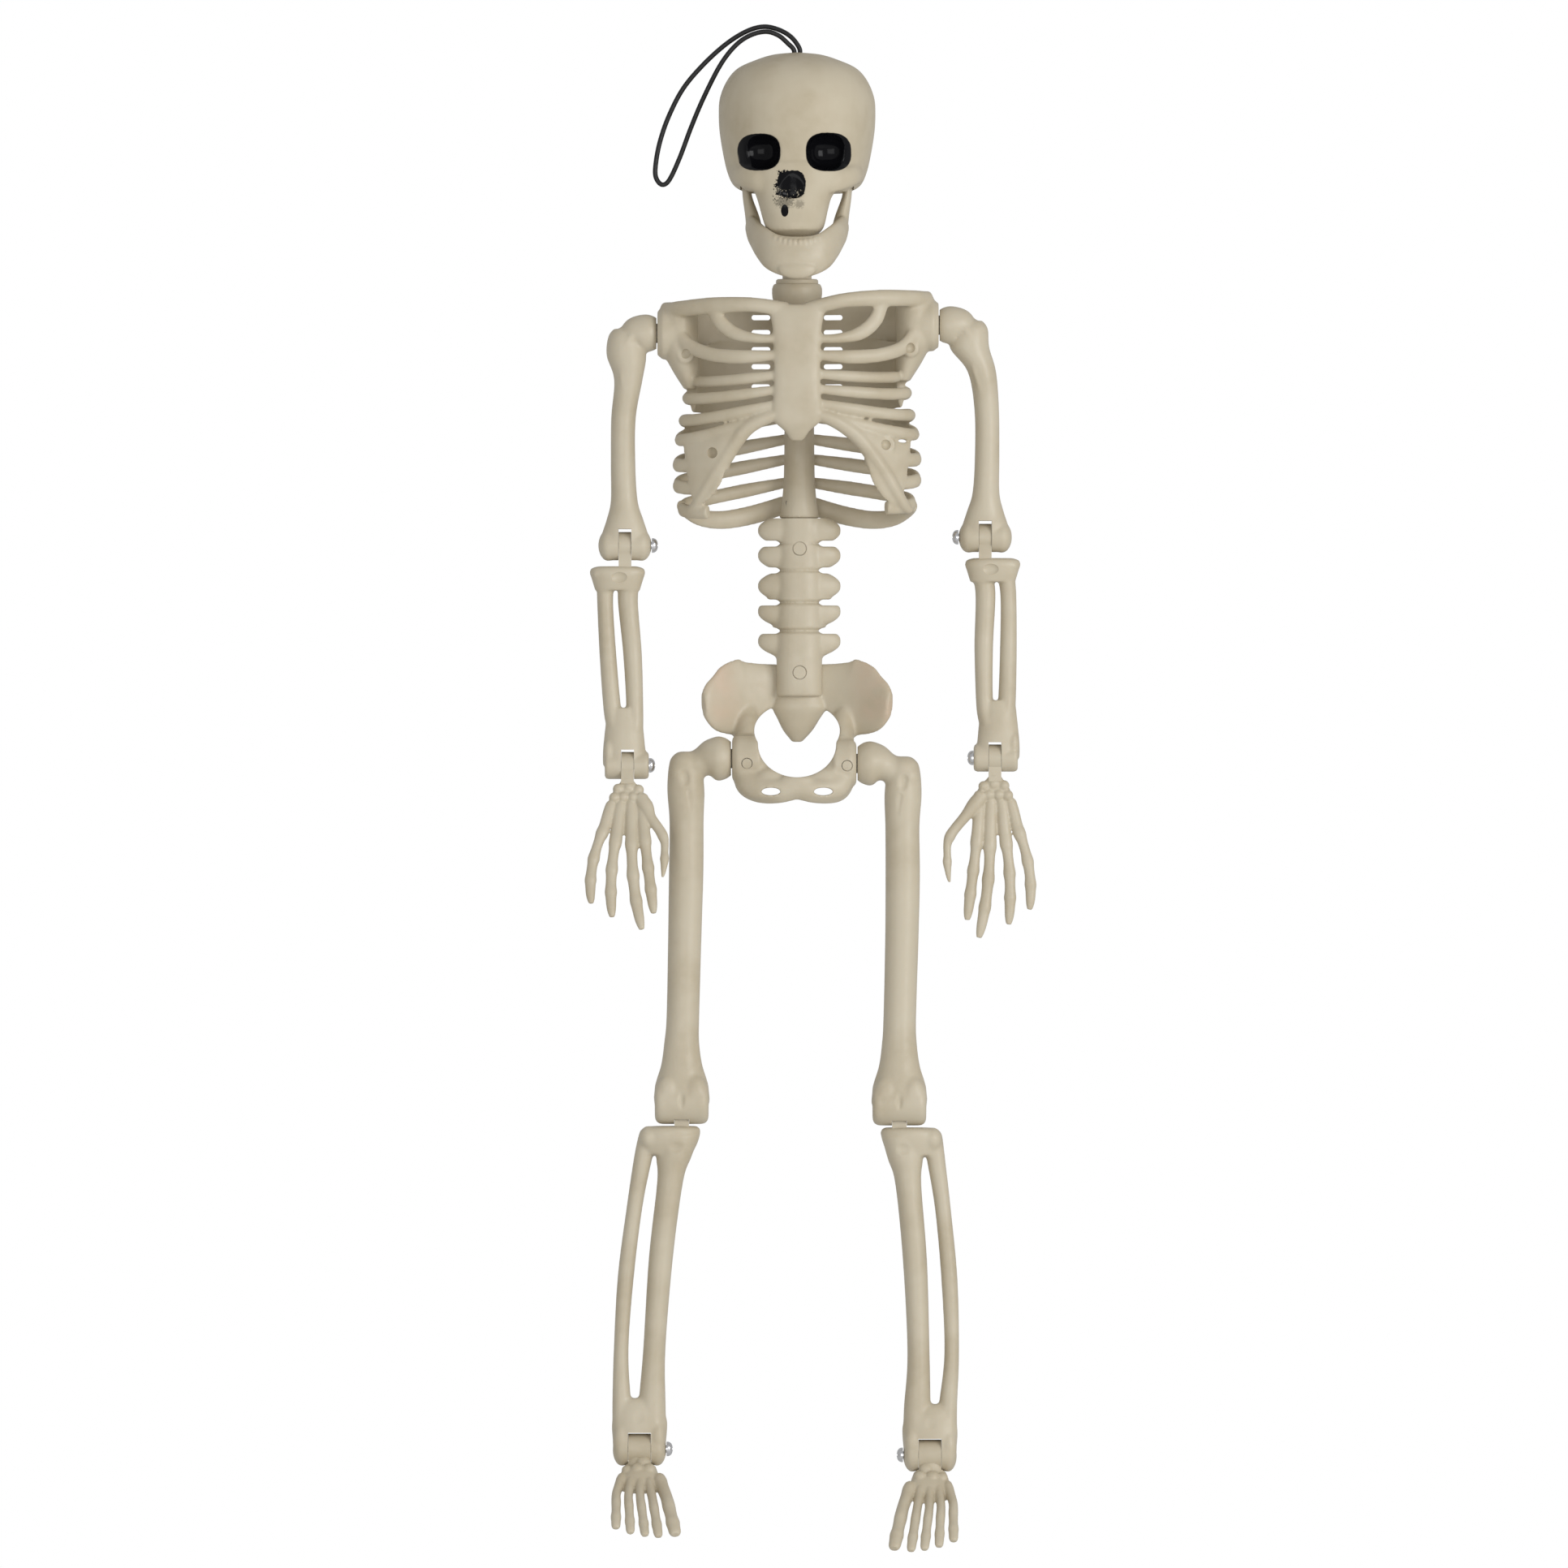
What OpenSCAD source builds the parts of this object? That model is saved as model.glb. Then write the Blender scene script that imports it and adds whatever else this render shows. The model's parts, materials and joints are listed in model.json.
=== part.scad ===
// Posable hanging skeleton figure in moulded plastic, with a hinged jaw, a turning
// neck, friction-fit shoulders and hips, pinned knees and screwed elbows, wrists and ankles.
// The origin is the cord hole in the crown. +Z is up and the face looks along -Y.
// Lists of two values hold the figure's right side (-X) first, then its left side (+X).

/* [Head] */
// Half the width of the skull at the temples
skull_half_w = 21; // [20:0.1:22]
// How far the face stands in front of the crown
skull_front_y = 23; // [22:0.1:24]
// How far the back of the skull stands behind the crown
skull_back_y = 28; // [27:0.1:30]
// Radius of the cord hole in the crown
crown_hole_r = 1.6; // [1.5:0.05:1.8]
// Plane in which the two halves of the skull meet, and the neck's axis
skull_seam_y = 4; // [3.5:0.1:4.5]

/* [Cord] */
// Diameter of the elastic cord
cord_d = 1.3; // [1.1:0.1:1.4]

/* [Pivots, right then left] */
// Shoulder faces, outwards from the middle
shoulder_x = [37.4, 37.9]; // [37:0.1:38.2]
// Shoulder pivots, above the crown
shoulder_z = [-75.2, -73]; // [-76:0.1:-72.5]
// Elbow pivots, outwards from the middle
elbow_x = [46.1, 50.4]; // [46:0.1:51]
// Elbow pivots, above the crown
elbow_z = [-132, -129.8]; // [-133:0.1:-129]
// Wrist pivots, outwards from the middle
wrist_x = [45.4, 53]; // [45.2:0.1:54]
// Wrist pivots, above the crown
wrist_z = [-190.9, -188.9]; // [-192:0.1:-188]
// Hip faces, outwards from the middle
hip_x = [17.4, 15.9]; // [15.6:0.1:17.8]
// Hip pivots, above the crown
hip_z = [-189.1, -190.4]; // [-191:0.1:-188.8]
// Upper thigh centres, outwards from the middle
thigh_x = [29.3, 27.9]; // [27.5:0.1:29.4]
// Knee pivots, outwards from the middle
knee_x = [30.9, 27.4]; // [27:0.1:31.2]
// Knee pivots, above the crown
knee_z = [-281, -281.4]; // [-282:0.1:-280]
// Ankle pivots, outwards from the middle
ankle_x = [42.2, 35.6]; // [35:0.1:42.6]
// Ankle pivots, above the crown
ankle_z = [-374, -375.6]; // [-376.5:0.1:-373]

/* [Hands and feet, right then left] */
// Forward lean of each hand, in degrees
hand_lean = [26, 6]; // [0:1:30]
// Outward turn of each hand, in degrees
hand_turn = [0.5, 0]; // [-2:0.5:3]
// How far each thumb stands in from the wrist
thumb_in = [10.2, 12.8]; // [8.5:0.1:13]
// Slope of the feet below level, in degrees
foot_slope = [27, 31.5]; // [24:0.5:36]

/* [Joints] */
// Radius of the screw shanks and pins
pin_r = 1; // [0.9:0.05:1.1]
// Running clearance round a pin or peg
running_gap = 0.06; // [0.04:0.01:0.09]
// Side clearance between a tongue and its fork
side_gap = 0.2; // [0.15:0.05:0.3]
// Radius of the shoulder and hip pegs
peg_r = 2.6; // [2.4:0.1:2.8]
// Radius of the flange that traps each peg
peg_flange_r = 3.9; // [3.6:0.1:4.1]
// Radius of the screw heads
screw_head_r = 1.95; // [1.8:0.05:2.1]

/* [Hidden] */
bone = [0.76, 0.71, 0.6];
steel = [0.75, 0.76, 0.78];
black = [0.05, 0.05, 0.05];
right = 0;
left = 1;
round_fn = 18;
bore_r = pin_r + running_gap;
pilot_r = pin_r - 0.05;
// The crown's cord exit, the two strands side by side, and the loop between them
cord_gap = 0.72;
cord_route = [
  [cord_gap, 0, -3.4], [cord_gap, 0, -1], [0.6, 0, 1.2], [-1.6, 0.3, 4.2], [-5, 0.9, 6.2],
  [-9, 1.5, 7], [-13.5, 1.9, 5.8], [-19, 2.2, 2.4], [-25, 2.4, -3], [-30.5, 2.5, -9.5],
  [-34.4, 2.5, -17], [-36.8, 2.4, -24], [-37.9, 2.3, -30], [-37.8, 2.1, -33.4],
  [-36.2, 1.9, -35.3], [-34.2, 1.7, -34], [-31.4, 1.4, -28], [-28.4, 1, -20],
  [-25, 0.4, -12], [-20.6, 0, -3.4], [-16.6, 0, 1.8], [-12.6, 0, 4.6], [-8.4, -0.2, 5.6],
  [-5, -0.2, 4.6], [-2.4, -0.1, 2.4], [-0.9, 0, 0.8], [-cord_gap, 0, -1],
  [-cord_gap, 0, -3.4]];
neck_y = skull_seam_y;
jaw_pivot = [0, -3, -34];
torso_seam_y = 0;
rib_tilt = 0.024;

// ---- Shared shapes ----

function side_sign(side) = side == right ? -1 : 1;
function mix(a, b, t) = a + (b - a) * t;
function catmull(a, b, c, d, t) = 0.5 * (2 * b + (c - a) * t
  + (2 * a - 5 * b + 4 * c - d) * t * t + (3 * b - a - 3 * c + d) * t * t * t);
function smooth_at(p, i, t) =
  catmull(p[max(i - 1, 0)], p[i], p[i + 1], p[min(i + 2, len(p) - 1)], t);
function smooth(p, steps) = [
  for (i = [0:len(p) - 2], k = [0:steps - 1]) smooth_at(p, i, k / steps), p[len(p) - 1]];
function unit(v) = v / norm(v);
function spot(p) = [p[0], p[1], p[2]];
function heading(p, i) = unit(spot(p[min(i + 1, len(p) - 1)]) - spot(p[max(i - 1, 0)]));

// Closes a stack of rings, each with the same number of points, into a solid
module skin(rings) {
  n = len(rings[0]);
  last = len(rings) - 1;
  polyhedron(
    [for (r = rings) each r],
    concat(
      [[for (i = [0:n - 1]) i]],
      [for (k = [0:last - 1], i = [0:n - 1], h = [0, 1])
        h == 0
          ? [k * n + i, (k + 1) * n + i, (k + 1) * n + (i + 1) % n]
          : [k * n + i, (k + 1) * n + (i + 1) % n, k * n + (i + 1) % n]],
      [[for (i = [n - 1:-1:0]) last * n + i]]));
}

// Level rings [x, y, z, half width, half depth], listed from the top down
module loft(rings, sides = 12, steps = 1) {
  skin([for (r = smooth(rings, steps))
    [for (i = [0:sides - 1])
      [r[0] + r[3] * cos(360 * i / sides), r[1] - r[4] * sin(360 * i / sides), r[2]]]]);
}

// A bar along points [x, y, z, radius across, radius towards ref]
module bar(points, ref = [0, 0, 1], sides = 7, steps = 1) {
  line = smooth(points, steps);
  skin([for (k = [0:len(line) - 1])
    let(along = heading(line, k), across = unit(cross(along, ref)), other = cross(across, along))
    [for (i = [0:sides - 1])
      spot(line[k]) + across * line[k][3] * cos(360 * i / sides)
        - other * line[k][4] * sin(360 * i / sides)]]);
}

// Joins overlapping smooth shapes into one closed skin
module one_skin() {
  resize([0, 0, 0]) union() children();
}

// A round bar across the figure, from x0 to x1
module axle(at, x0, x1, r, fn = 48) {
  translate([min(x0, x1), at[1], at[2]]) rotate([0, 90, 0])
    cylinder(h = abs(x1 - x0), r = r, $fn = fn);
}

// A block across the figure, from x0 to x1, with y and z ranges
module block(x0, x1, y0, y1, z0, z1) {
  translate([min(x0, x1), y0, z0]) cube([abs(x1 - x0), y1 - y0, z1 - z0]);
}

// ---- Head ----

module cranium() {
  w = skull_half_w;
  front = skull_front_y;
  back = skull_back_y;
  loft([for (r = [
      [0, 0.03, -0.12, 0.12], [-0.5, 0.3, -0.26, 0.3], [-1.9, 0.52, -0.5, 0.5],
      [-4.2, 0.76, -0.71, 0.7], [-7.6, 0.9, -0.86, 0.84], [-12, 0.985, -0.95, 0.94],
      [-16, 1, -0.985, 0.985], [-21, 0.99, -1, 1], [-27, 0.945, -0.96, 0.97],
      [-32, 0.89, -0.95, 0.86], [-35.6, 0.81, -0.93, 0.68], [-37.6, 0.7, -0.9, 0.52]])
    [0, (r[2] * front + r[3] * back) / 2, r[0], r[1] * w, (r[3] * back - r[2] * front) / 2]],
    sides = 24);
}

module skull_cavity() {
  loft([[0, 1, -2.2, 4, 5], [0, 2, -4.4, 11.5, 11], [0, 2.4, -8, 16, 16.6],
    [0, 2.6, -13, 18, 20], [0, 3.6, -20, 18.4, 21], [0, 4.6, -26, 16.8, 19],
    [0, 4, -29.4, 11, 16], [0, 2.5, -33, 9.4, 10], [0, 4, -37.6, 6, 6]], sides = 14);
}

module skull_outside() {
  cranium();
  loft([[0, -14, -33, 12.4, 9.2], [-0.4, -14, -36.4, 11.2, 8.8], [-0.8, -14.2, -39, 9.9, 8.6],
    [-0.8, -14.2, -42.4, 9, 8.3], [-0.6, -14, -46, 7.9, 7.4], [-0.5, -13.6, -48, 6.9, 6.6],
    [-0.5, -12.2, -49.6, 5, 4.4]], sides = 16);
  loft([[0, neck_y, -35, 9, 9], [0, neck_y, -39, 8.4, 8.4], [0, neck_y, -41.6, 7.4, 7.4]],
    sides = 16);
  for (s = [-1, 1]) bar([[s * 19.4, 2, -31, 0.8, 0.8], [s * 18.6, -6, -31.4, 1.2, 1.5],
    [s * 15.6, -15, -32.6, 1.6, 2], [s * 11, -20.6, -33.6, 1.4, 2]]);
}

module eye_socket(s) {
  loft([[s * 9.6, -21, -22.4, 1.6, 1.4], [s * 9.5, -21.4, -23.4, 4.2, 3], [s * 9.6, -21.6, -27, 5.5, 4.3],
    [s * 9.7, -21.4, -30.8, 4.4, 3.2], [s * 9.7, -21, -32, 1.6, 1.4]], sides = 14);
}

module skull_half(front) {
  far = 60;
  difference() {
    one_skin() intersection() {
      difference() {
        skull_outside();
        skull_cavity();
        for (s = [-1, 1]) {
          eye_socket(s);
          block(s * 11.7, s * 15.2, -8.4, 2.6, -60, -30.4);
        }
      }
      block(-far, far, front ? -far : skull_seam_y, front ? skull_seam_y : far, -far, far);
    }
    translate([0, neck_y, -45]) cylinder(h = 8, r = 3 + running_gap, $fn = 48);
    translate([0, neck_y, -39.4]) cylinder(h = 4, r = 5, $fn = 48);
    if (front) {
      translate([0, 0, -6]) cylinder(h = 8, r = crown_hole_r, $fn = 32);
      for (s = [-1, 1]) axle(jaw_pivot, s * 9.6, s * 24, pilot_r);
    }
  }
}

module skull_front() {
  color(bone) skull_half(true);
}

module skull_back() {
  color(bone) skull_half(false);
}

module jaw() {
  half = [[12.4, -5.6, -46.4, 1.5, 2.9], [11.4, -9.4, -48.4, 1.9, 3.8], [9.6, -14.6, -51, 1.9, 4.3],
    [6, -19, -54.1, 2.2, 4.8]];
  color(bone) difference() {
    one_skin() {
      bar(concat([for (p = half) [-p[0], p[1], p[2], p[3], p[4]]], [[0, -20.4, -55.3, 2.4, 5.1]],
        [for (i = [3:-1:0]) half[i]]), sides = 12);
      for (s = [-1, 1]) {
        loft([[s * 13.4, -3, -33, 1.3, 2.4], [s * 13.3, -3.2, -38, 1.2, 2.6],
          [s * 12, -4.2, -44, 1.9, 3], [s * 11.2, -6, -48.6, 2.3, 3.4]], sides = 12);
        axle(jaw_pivot, s * 12, s * 14.8, 3, 24);
      }
    }
    for (s = [-1, 1]) axle(jaw_pivot, s * 11, s * 16, bore_r);
  }
}

module jaw_pins() {
  color(steel) for (s = [-1, 1]) axle(jaw_pivot, s * 10, s * 17.4, pin_r);
}

module cord_knot() {
  color(black) translate([0, 0, -5.2]) sphere(r = 2.4, $fn = 32);
}

module hanging_cord() {
  color(black) bar([for (p = cord_route) [p[0], p[1], p[2], cord_d / 2, cord_d / 2]],
    ref = [0, 1, 0], sides = 6);
}

// ---- Torso ----

module neck() {
  color(bone) translate([0, neck_y, 0]) {
    translate([0, 0, -38.8]) cylinder(h = 2, r = 4.4, $fn = 48);
    translate([0, 0, -60]) cylinder(h = 22, r = 3, $fn = 48);
    translate([0, 0, -61]) cylinder(h = 19, r = 3.9, $fn = 48);
    rotate_extrude($fn = 64) polygon([[0, -60.6], [5.3, -60.6], [5.6, -61.4], [6.2, -61.8],
      [6.7, -63], [6.7, -65.6], [6.2, -67.2], [4.6, -69.4], [3, -70], [3, -77], [0, -77]]);
  }
}

// A rib from the middle to the side, on an ellipse, as points of a bar. It starts thinner.
function rib(s, half_w, depth, z0, z1, sag, from, to, thick, tall, start = 1) = [
  for (k = [0:5]) let(t = k / 5, a = mix(from, to, t), x = s * half_w * sin(a) / sin(to))
    [x, depth * cos(a), mix(z0, z1, t) - sag * sin(180 * t) + rib_tilt * x,
      thick, tall * (t > 0.9 ? 0.8 : 1) * (k == 0 ? start : 1)]];

rib_tips = [[30, -91.8], [31, -97.8], [32, -103.2], [32.5, -109.6], [32.4, -115], [31, -121.2]];

function clavicle_z(x) = -67.4 + 0.045 * x;

// The rounded corner of the chest, with a round face for the arm
module shoulder_socket(side) {
  s = side_sign(side);
  z = shoulder_z[side];
  at = [0, 0, z];
  loft([[s * 31.6, 0, clavicle_z(s * 33) + 2, 4, 2.4], [s * 31.6, 0, z + 7, 5, 5.6],
    [s * 31.6, 0, z + 2, 5.2, 7], [s * 31.4, 0, z - 4, 4.8, 7], [s * 30, 0, z - 9.6, 3.6, 6],
    [s * 28.4, 0, z - 15, 1.8, 4]], sides = 12);
  axle(at, s * 30.4, s * (shoulder_x[side] - 0.9), 7, round_fn);
  axle(at, s * 31.4, s * shoulder_x[side], 6.2, round_fn);
}

module shoulder_bores() {
  for (side = [right, left]) {
    s = side_sign(side);
    at = [0, 0, shoulder_z[side]];
    axle(at, s * 31, s * 40, peg_r + running_gap);
    axle(at, s * 31, s * (shoulder_x[side] - 2.6), peg_flange_r + 0.15);
  }
}

// Bosses that hold the halves together: x, z and reach
peg_places = [[-29.8, -81, 7], [30.4, -79.4, 7], [-22.6, -107.4, 11.4], [23.9, -105.2, 11.4]];

module ribcage_front() {
  color(bone) difference() {
    one_skin() intersection() {
      union() {
        loft([[0, -15, -67.8, 8, 1.6], [0, -15.6, -70, 7.2, 2], [0, -16.4, -76, 6.3, 2],
          [0, -16.8, -90, 6, 2], [0, -16.4, -98, 6.6, 2], [0, -15.8, -101.6, 3, 1.6],
          [0, -15.4, -103.6, 1.6, 1.1]], sides = 12);
        for (side = [right, left]) {
          s = side_sign(side);
          z = shoulder_z[side];
          shoulder_socket(side);
          bar([[s * 3, -15.4, -69.2, 1.6, 2.1], [s * 12, -15.6, clavicle_z(s * 12), 1.6, 2],
            [s * 22, -12.6, clavicle_z(s * 22), 1.6, 2], [s * 31, -6.4, clavicle_z(s * 31), 2, 2.2],
            [s * 34.8, -1, clavicle_z(s * 34.8) - 0.4, 2, 2.3]]);
          bar([[s * 4, -16.4, -76.5, 1.3, 1.2], [s * 11, -15.6, -76.2, 1.3, 1.7],
            [s * 17, -14, -75.2, 1.3, 2], [s * 21, -12.8, -71.8, 1.3, 2],
            [s * 22.6, -12, -67.4, 1.4, 2]]);
          bar([[s * 4, -16.4, -81.3, 1.3, 1.2], [s * 14, -15.4, -81.8, 1.3, 1.9],
            [s * 22.4, -12, -81.2, 1.3, 1.9], [s * 29, -7.6, -78.6, 1.4, 2],
            [s * 33.4, -4, z + 1, 1.6, 2.4]]);
          bar(rib(s, 27.4, -16.6, -86.4, -87.4, 0.8, 8, 84, 1.3, 2.1, 0.65), sides = 6);
          bar(rib(s, 30, -16.6, -90.7, -91.8, 1, 10, 86, 1.3, 2.1, 0.65), sides = 6);
          bar(rib(s, 31, -16.6, -94.6, -97.8, 1.4, 10, 87, 1.3, 2.1, 0.65), sides = 6);
          bar(rib(s, 32, -16, -98, -103.2, 1.6, 14, 88, 1.3, 2.1), sides = 6);
          for (k = [3:5]) bar(rib(s, rib_tips[k][0], -14.6, mix(-109.6, -122.6, (k - 3) / 2),
            rib_tips[k][1], 0.4, 34 + 8 * (k - 3), 88, 1.3, 2.1), sides = 6);
          bar([[s * 2.6, -15.8, -98.4, 1.6, 2], [s * 10, -15.4, -100.8, 2.1, 2.2],
            [s * 16.6, -13.4, -104.4, 2.5, 2.4], [s * 21, -11.4, -112, 2.4, 2.4],
            [s * 24.6, -9.4, -119.4, 2.2, 2.2], [s * 26.4, -7.8, -122.6, 1.8, 1.8]],
            ref = [0, 1, 0]);
          bar([[s * 13, -14.4, -102.2, 0.8, 1.4], [s * 18, -13.2, -104.8, 0.8, 3.2],
            [s * 21.5, -11.6, -108.2, 0.8, 5.6], [s * 24.6, -9.8, -111.6, 0.8, 8.4],
            [s * 27, -8.2, -113, 0.8, 9.6], [s * 28.6, -6.8, -113.2, 0.8, 9.2]], sides = 8);
        }
        for (p = peg_places) translate([p[0], 0, p[1]]) rotate([90, 0, 0])
          cylinder(h = p[2], r = 2.3, $fn = 14);
      }
      block(-60, 60, -40, torso_seam_y, -140, -50);
    }
    shoulder_bores();
    for (p = peg_places) translate([p[0], 1, p[1]]) rotate([90, 0, 0])
      cylinder(h = 5, r = 1.15, $fn = 32);
    translate([0, neck_y, -90]) cylinder(h = 20, r = 3, $fn = 48);
  }
}

module ribcage_back() {
  plate_d = 16.4;
  color(bone) union() {
    difference() {
      one_skin() intersection() {
        difference() {
          union() {
            bar([for (a = [-80, -64, -48, -32, -16, 0, 16, 32, 48, 64, 80]) let(x = 33.4 * sin(a))
              [x, plate_d * cos(a), clavicle_z(x) - 5 - 1.2 * cos(a), 1.4, 7.2]], sides = 10);
            bar([for (a = [-88, -71, -53, -35, -17, 1, 19, 37, 54, 72, 88]) let(x = 28 * sin(a))
              [x, plate_d * cos(a), -86.8 + rib_tilt * x, 1.3, 12.2 - 3.2 * abs(sin(a))]], sides = 12);
            for (side = [right, left]) {
              s = side_sign(side);
              shoulder_socket(side);
              for (k = [0:5]) bar(rib(s, rib_tips[k][0], plate_d,
                rib_tips[k][1] + (k < 2 ? 1 : k < 3 ? 4 : 6.6), rib_tips[k][1], 0.4,
                4, 88, 1.36, 2.1, k < 3 ? 1 : 0.7), sides = 6);
              bar([[s * 3, 16.2, -121.2, 1.36, 1.9], [s * 12, 15.2, -124.2, 1.36, 1.9],
                [s * 20, 12.6, -125.6, 1.36, 1.9], [s * 26, 9.2, -124.8, 1.36, 1.9],
                [s * 30, 5, -122.6, 1.36, 1.7], [s * 31, 0.4, -121.4, 1.36, 1.5]]);
            }
            loft([[0.4, 12, -65.6, 4, 4], [0.5, 12.6, -80, 4, 4.6], [0.6, 12.6, -100, 4, 4.8],
              [0.6, 12, -114, 4.2, 5.2], [0.6, 11, -121, 4.8, 5.4], [0.6, 10.6, -124.6, 5.6, 5.2]],
              sides = 16);
            for (p = peg_places) translate([p[0], p[2], p[1]]) rotate([90, 0, 0])
              cylinder(h = p[2], r = 2.3, $fn = 14);
          }
          for (s = [-1, 1], z = [-70.6, -74.6, -79.2, -83.8, -89.2])
            block(s * 7.4, s * 12, 4, 20, z - 0.6, z + 0.6);
        }
        block(-60, 60, torso_seam_y, 40, -140, -50);
      }
      shoulder_bores();
      translate([0, neck_y, -77.5]) cylinder(h = 12, r = 3, $fn = 48);
      block(-3, 3, 7.4, 12, -127, -120);
    }
    for (p = peg_places) translate([p[0], 1, p[1]]) rotate([90, 0, 0])
      cylinder(h = 5, r = 1.15, $fn = 32);
  }
}

lumbar_x = 0.6;
process_z = [-127.9, -134.6, -142.8, -149.6, -157.6];

module lumbar_spine() {
  color(bone) one_skin() {
    intersection() {
      union() {
        loft([[lumbar_x, 9.8, -124.6, 5.8, 4.6], [lumbar_x, 9, -135, 6, 4.8], [lumbar_x, 8, -150, 6.1, 4.8],
          [lumbar_x, 8, -164, 6.2, 4.8], [lumbar_x, 8.6, -172.2, 6.2, 4.4]]);
        for (z = process_z) loft([[lumbar_x, 9, z + 3.2, 6.6, 2.4], [lumbar_x, 9, z + 2.2, 10, 3.2],
          [lumbar_x, 9, z, 10.9, 3.4], [lumbar_x, 9, z - 2.2, 10, 3.2], [lumbar_x, 9, z - 3.2, 6.6, 2.4]],
          sides = 10);
      }
      block(-40, 40, -20, 40, -180, -124.6);
    }
    block(-2.9, 2.9, 7.5, 11.9, -130, -120.2);
    block(-2.9, 2.9, 7.5, 10.9, -176, -170);
  }
}

// ---- Pelvis ----

module hip_socket(side) {
  s = side_sign(side);
  at = [0, 0, hip_z[side]];
  axle(at, s * 9.6, s * (hip_x[side] - 0.8), 6.6, round_fn);
  axle(at, s * 9.6, s * hip_x[side], 5.8, round_fn);
}

module hip_bores() {
  for (side = [right, left]) {
    s = side_sign(side);
    at = [0, 0, hip_z[side]];
    axle(at, s * 10.8, s * 24, peg_r + running_gap);
    axle(at, s * 10.8, s * (hip_x[side] - 2.4), peg_flange_r + 0.15);
  }
}

// The thigh's head turns inside this radius beside the hip
hip_clear_r = 6.2;

// The egg-shaped opening between the hips, as two oval bars along Y: z, half width, half height
module pelvis_opening() {
  for (oval = [[-181.6, 11.5, 7.6], [-185.2, 10.5, 8.9]])
    translate([0, 0, oval[0]]) scale([oval[1], 1, oval[2]]) rotate([90, 0, 0])
      cylinder(h = 60, r = 1, center = true, $fn = 20);
}

module pelvis_skin() {
  difference() {
    for (side = [right, left]) {
      s = side_sign(side);
      h = hip_x[side];
      hip_socket(side);
      bar([[s * 3, 11, -168.4, 1.8, 5], [s * 8, 9.8, -170.4, 1.8, 7.4], [s * 13, 7.8, -172.6, 1.8, 10.6],
        [s * 17, 5.4, -173.2, 1.6, 10], [s * 20.6, 2.8, -174.2, 1.5, 8.3],
        [s * 23.6, 0.6, -174.6, 1.4, 5.8], [s * 25.2, -0.6, -174.8, 1.3, 2.8]], sides = 14);
      bar([[s * 13, 8, -173, 2, 1.8], [s * (h - 3.9), 6.4, -180, 3, 3.6],
        [s * (h - 3.7), 1.6, -188.4, 3.2, 4.8], [s * (h - 4.7), -4, -195.6, 3.5, 3],
        [s * 6.8, -6.8, -197.4, 2.8, 2.2], [0, -7.6, -196.8, 2.6, 1.9]],
        ref = [0, 1, 0], sides = 12);
      bar([[s * (h - 3.6), 0.6, -191, 3, 3.8], [s * (h - 3.6), -1, -196, 2.8, 3],
        [s * 10.4, -3.6, -198.9, 2, 2.4], [s * 5, -6.2, -199.4, 1.7, 1.8],
        [0, -7.2, -198.2, 1.8, 1.6]], ref = [0, 1, 0], sides = 10);
    }
    pelvis_opening();
    for (side = [right, left]) let(s = side_sign(side), face = hip_x[side] + 0.1)
      axle([0, 0, hip_z[side]], s * face, s * (face + 14), hip_clear_r, round_fn);
    for (s = [-1, 1]) translate([s * 7, -10, -197.9]) scale([1, 1, 0.36]) rotate([90, 0, 0])
      cylinder(h = 20, r = 2.6, center = true, $fn = 14);
  }
  loft([[lumbar_x, 9.4, -170, 7.4, 4], [lumbar_x, 9.6, -175.4, 7.4, 3.8], [0.4, 10, -178.6, 5.6, 3.2],
    [0.2, 10.4, -181.6, 3.9, 2.6], [0, 10.8, -184.6, 1.3, 1.4]], sides = 14);
}

// The wings above this height are all on the back half
wing_z = -182.9;

module pelvis_half(front) {
  difference() {
    one_skin() intersection() {
      pelvis_skin();
      if (front) block(-60, 60, -40, torso_seam_y, -220, wing_z);
      else union() {
        block(-60, 60, torso_seam_y, 40, -220, wing_z);
        block(-60, 60, -40, 40, wing_z, -150);
      }
    }
    hip_bores();
    block(-3, 3, 7.4, 11, -176.2, -168);
  }
}

module pelvis_front() {
  color(bone) pelvis_half(true);
}

module pelvis_back() {
  color(bone) pelvis_half(false);
}

// ---- Arms ----

module peg(side, face_x, z, inner) {
  s = side_sign(side);
  at = [0, 0, z];
  axle(at, s * (face_x - inner), s * (face_x + 3), peg_r);
  axle(at, s * (face_x - inner), s * (face_x - inner + 1.4), peg_flange_r);
}

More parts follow.
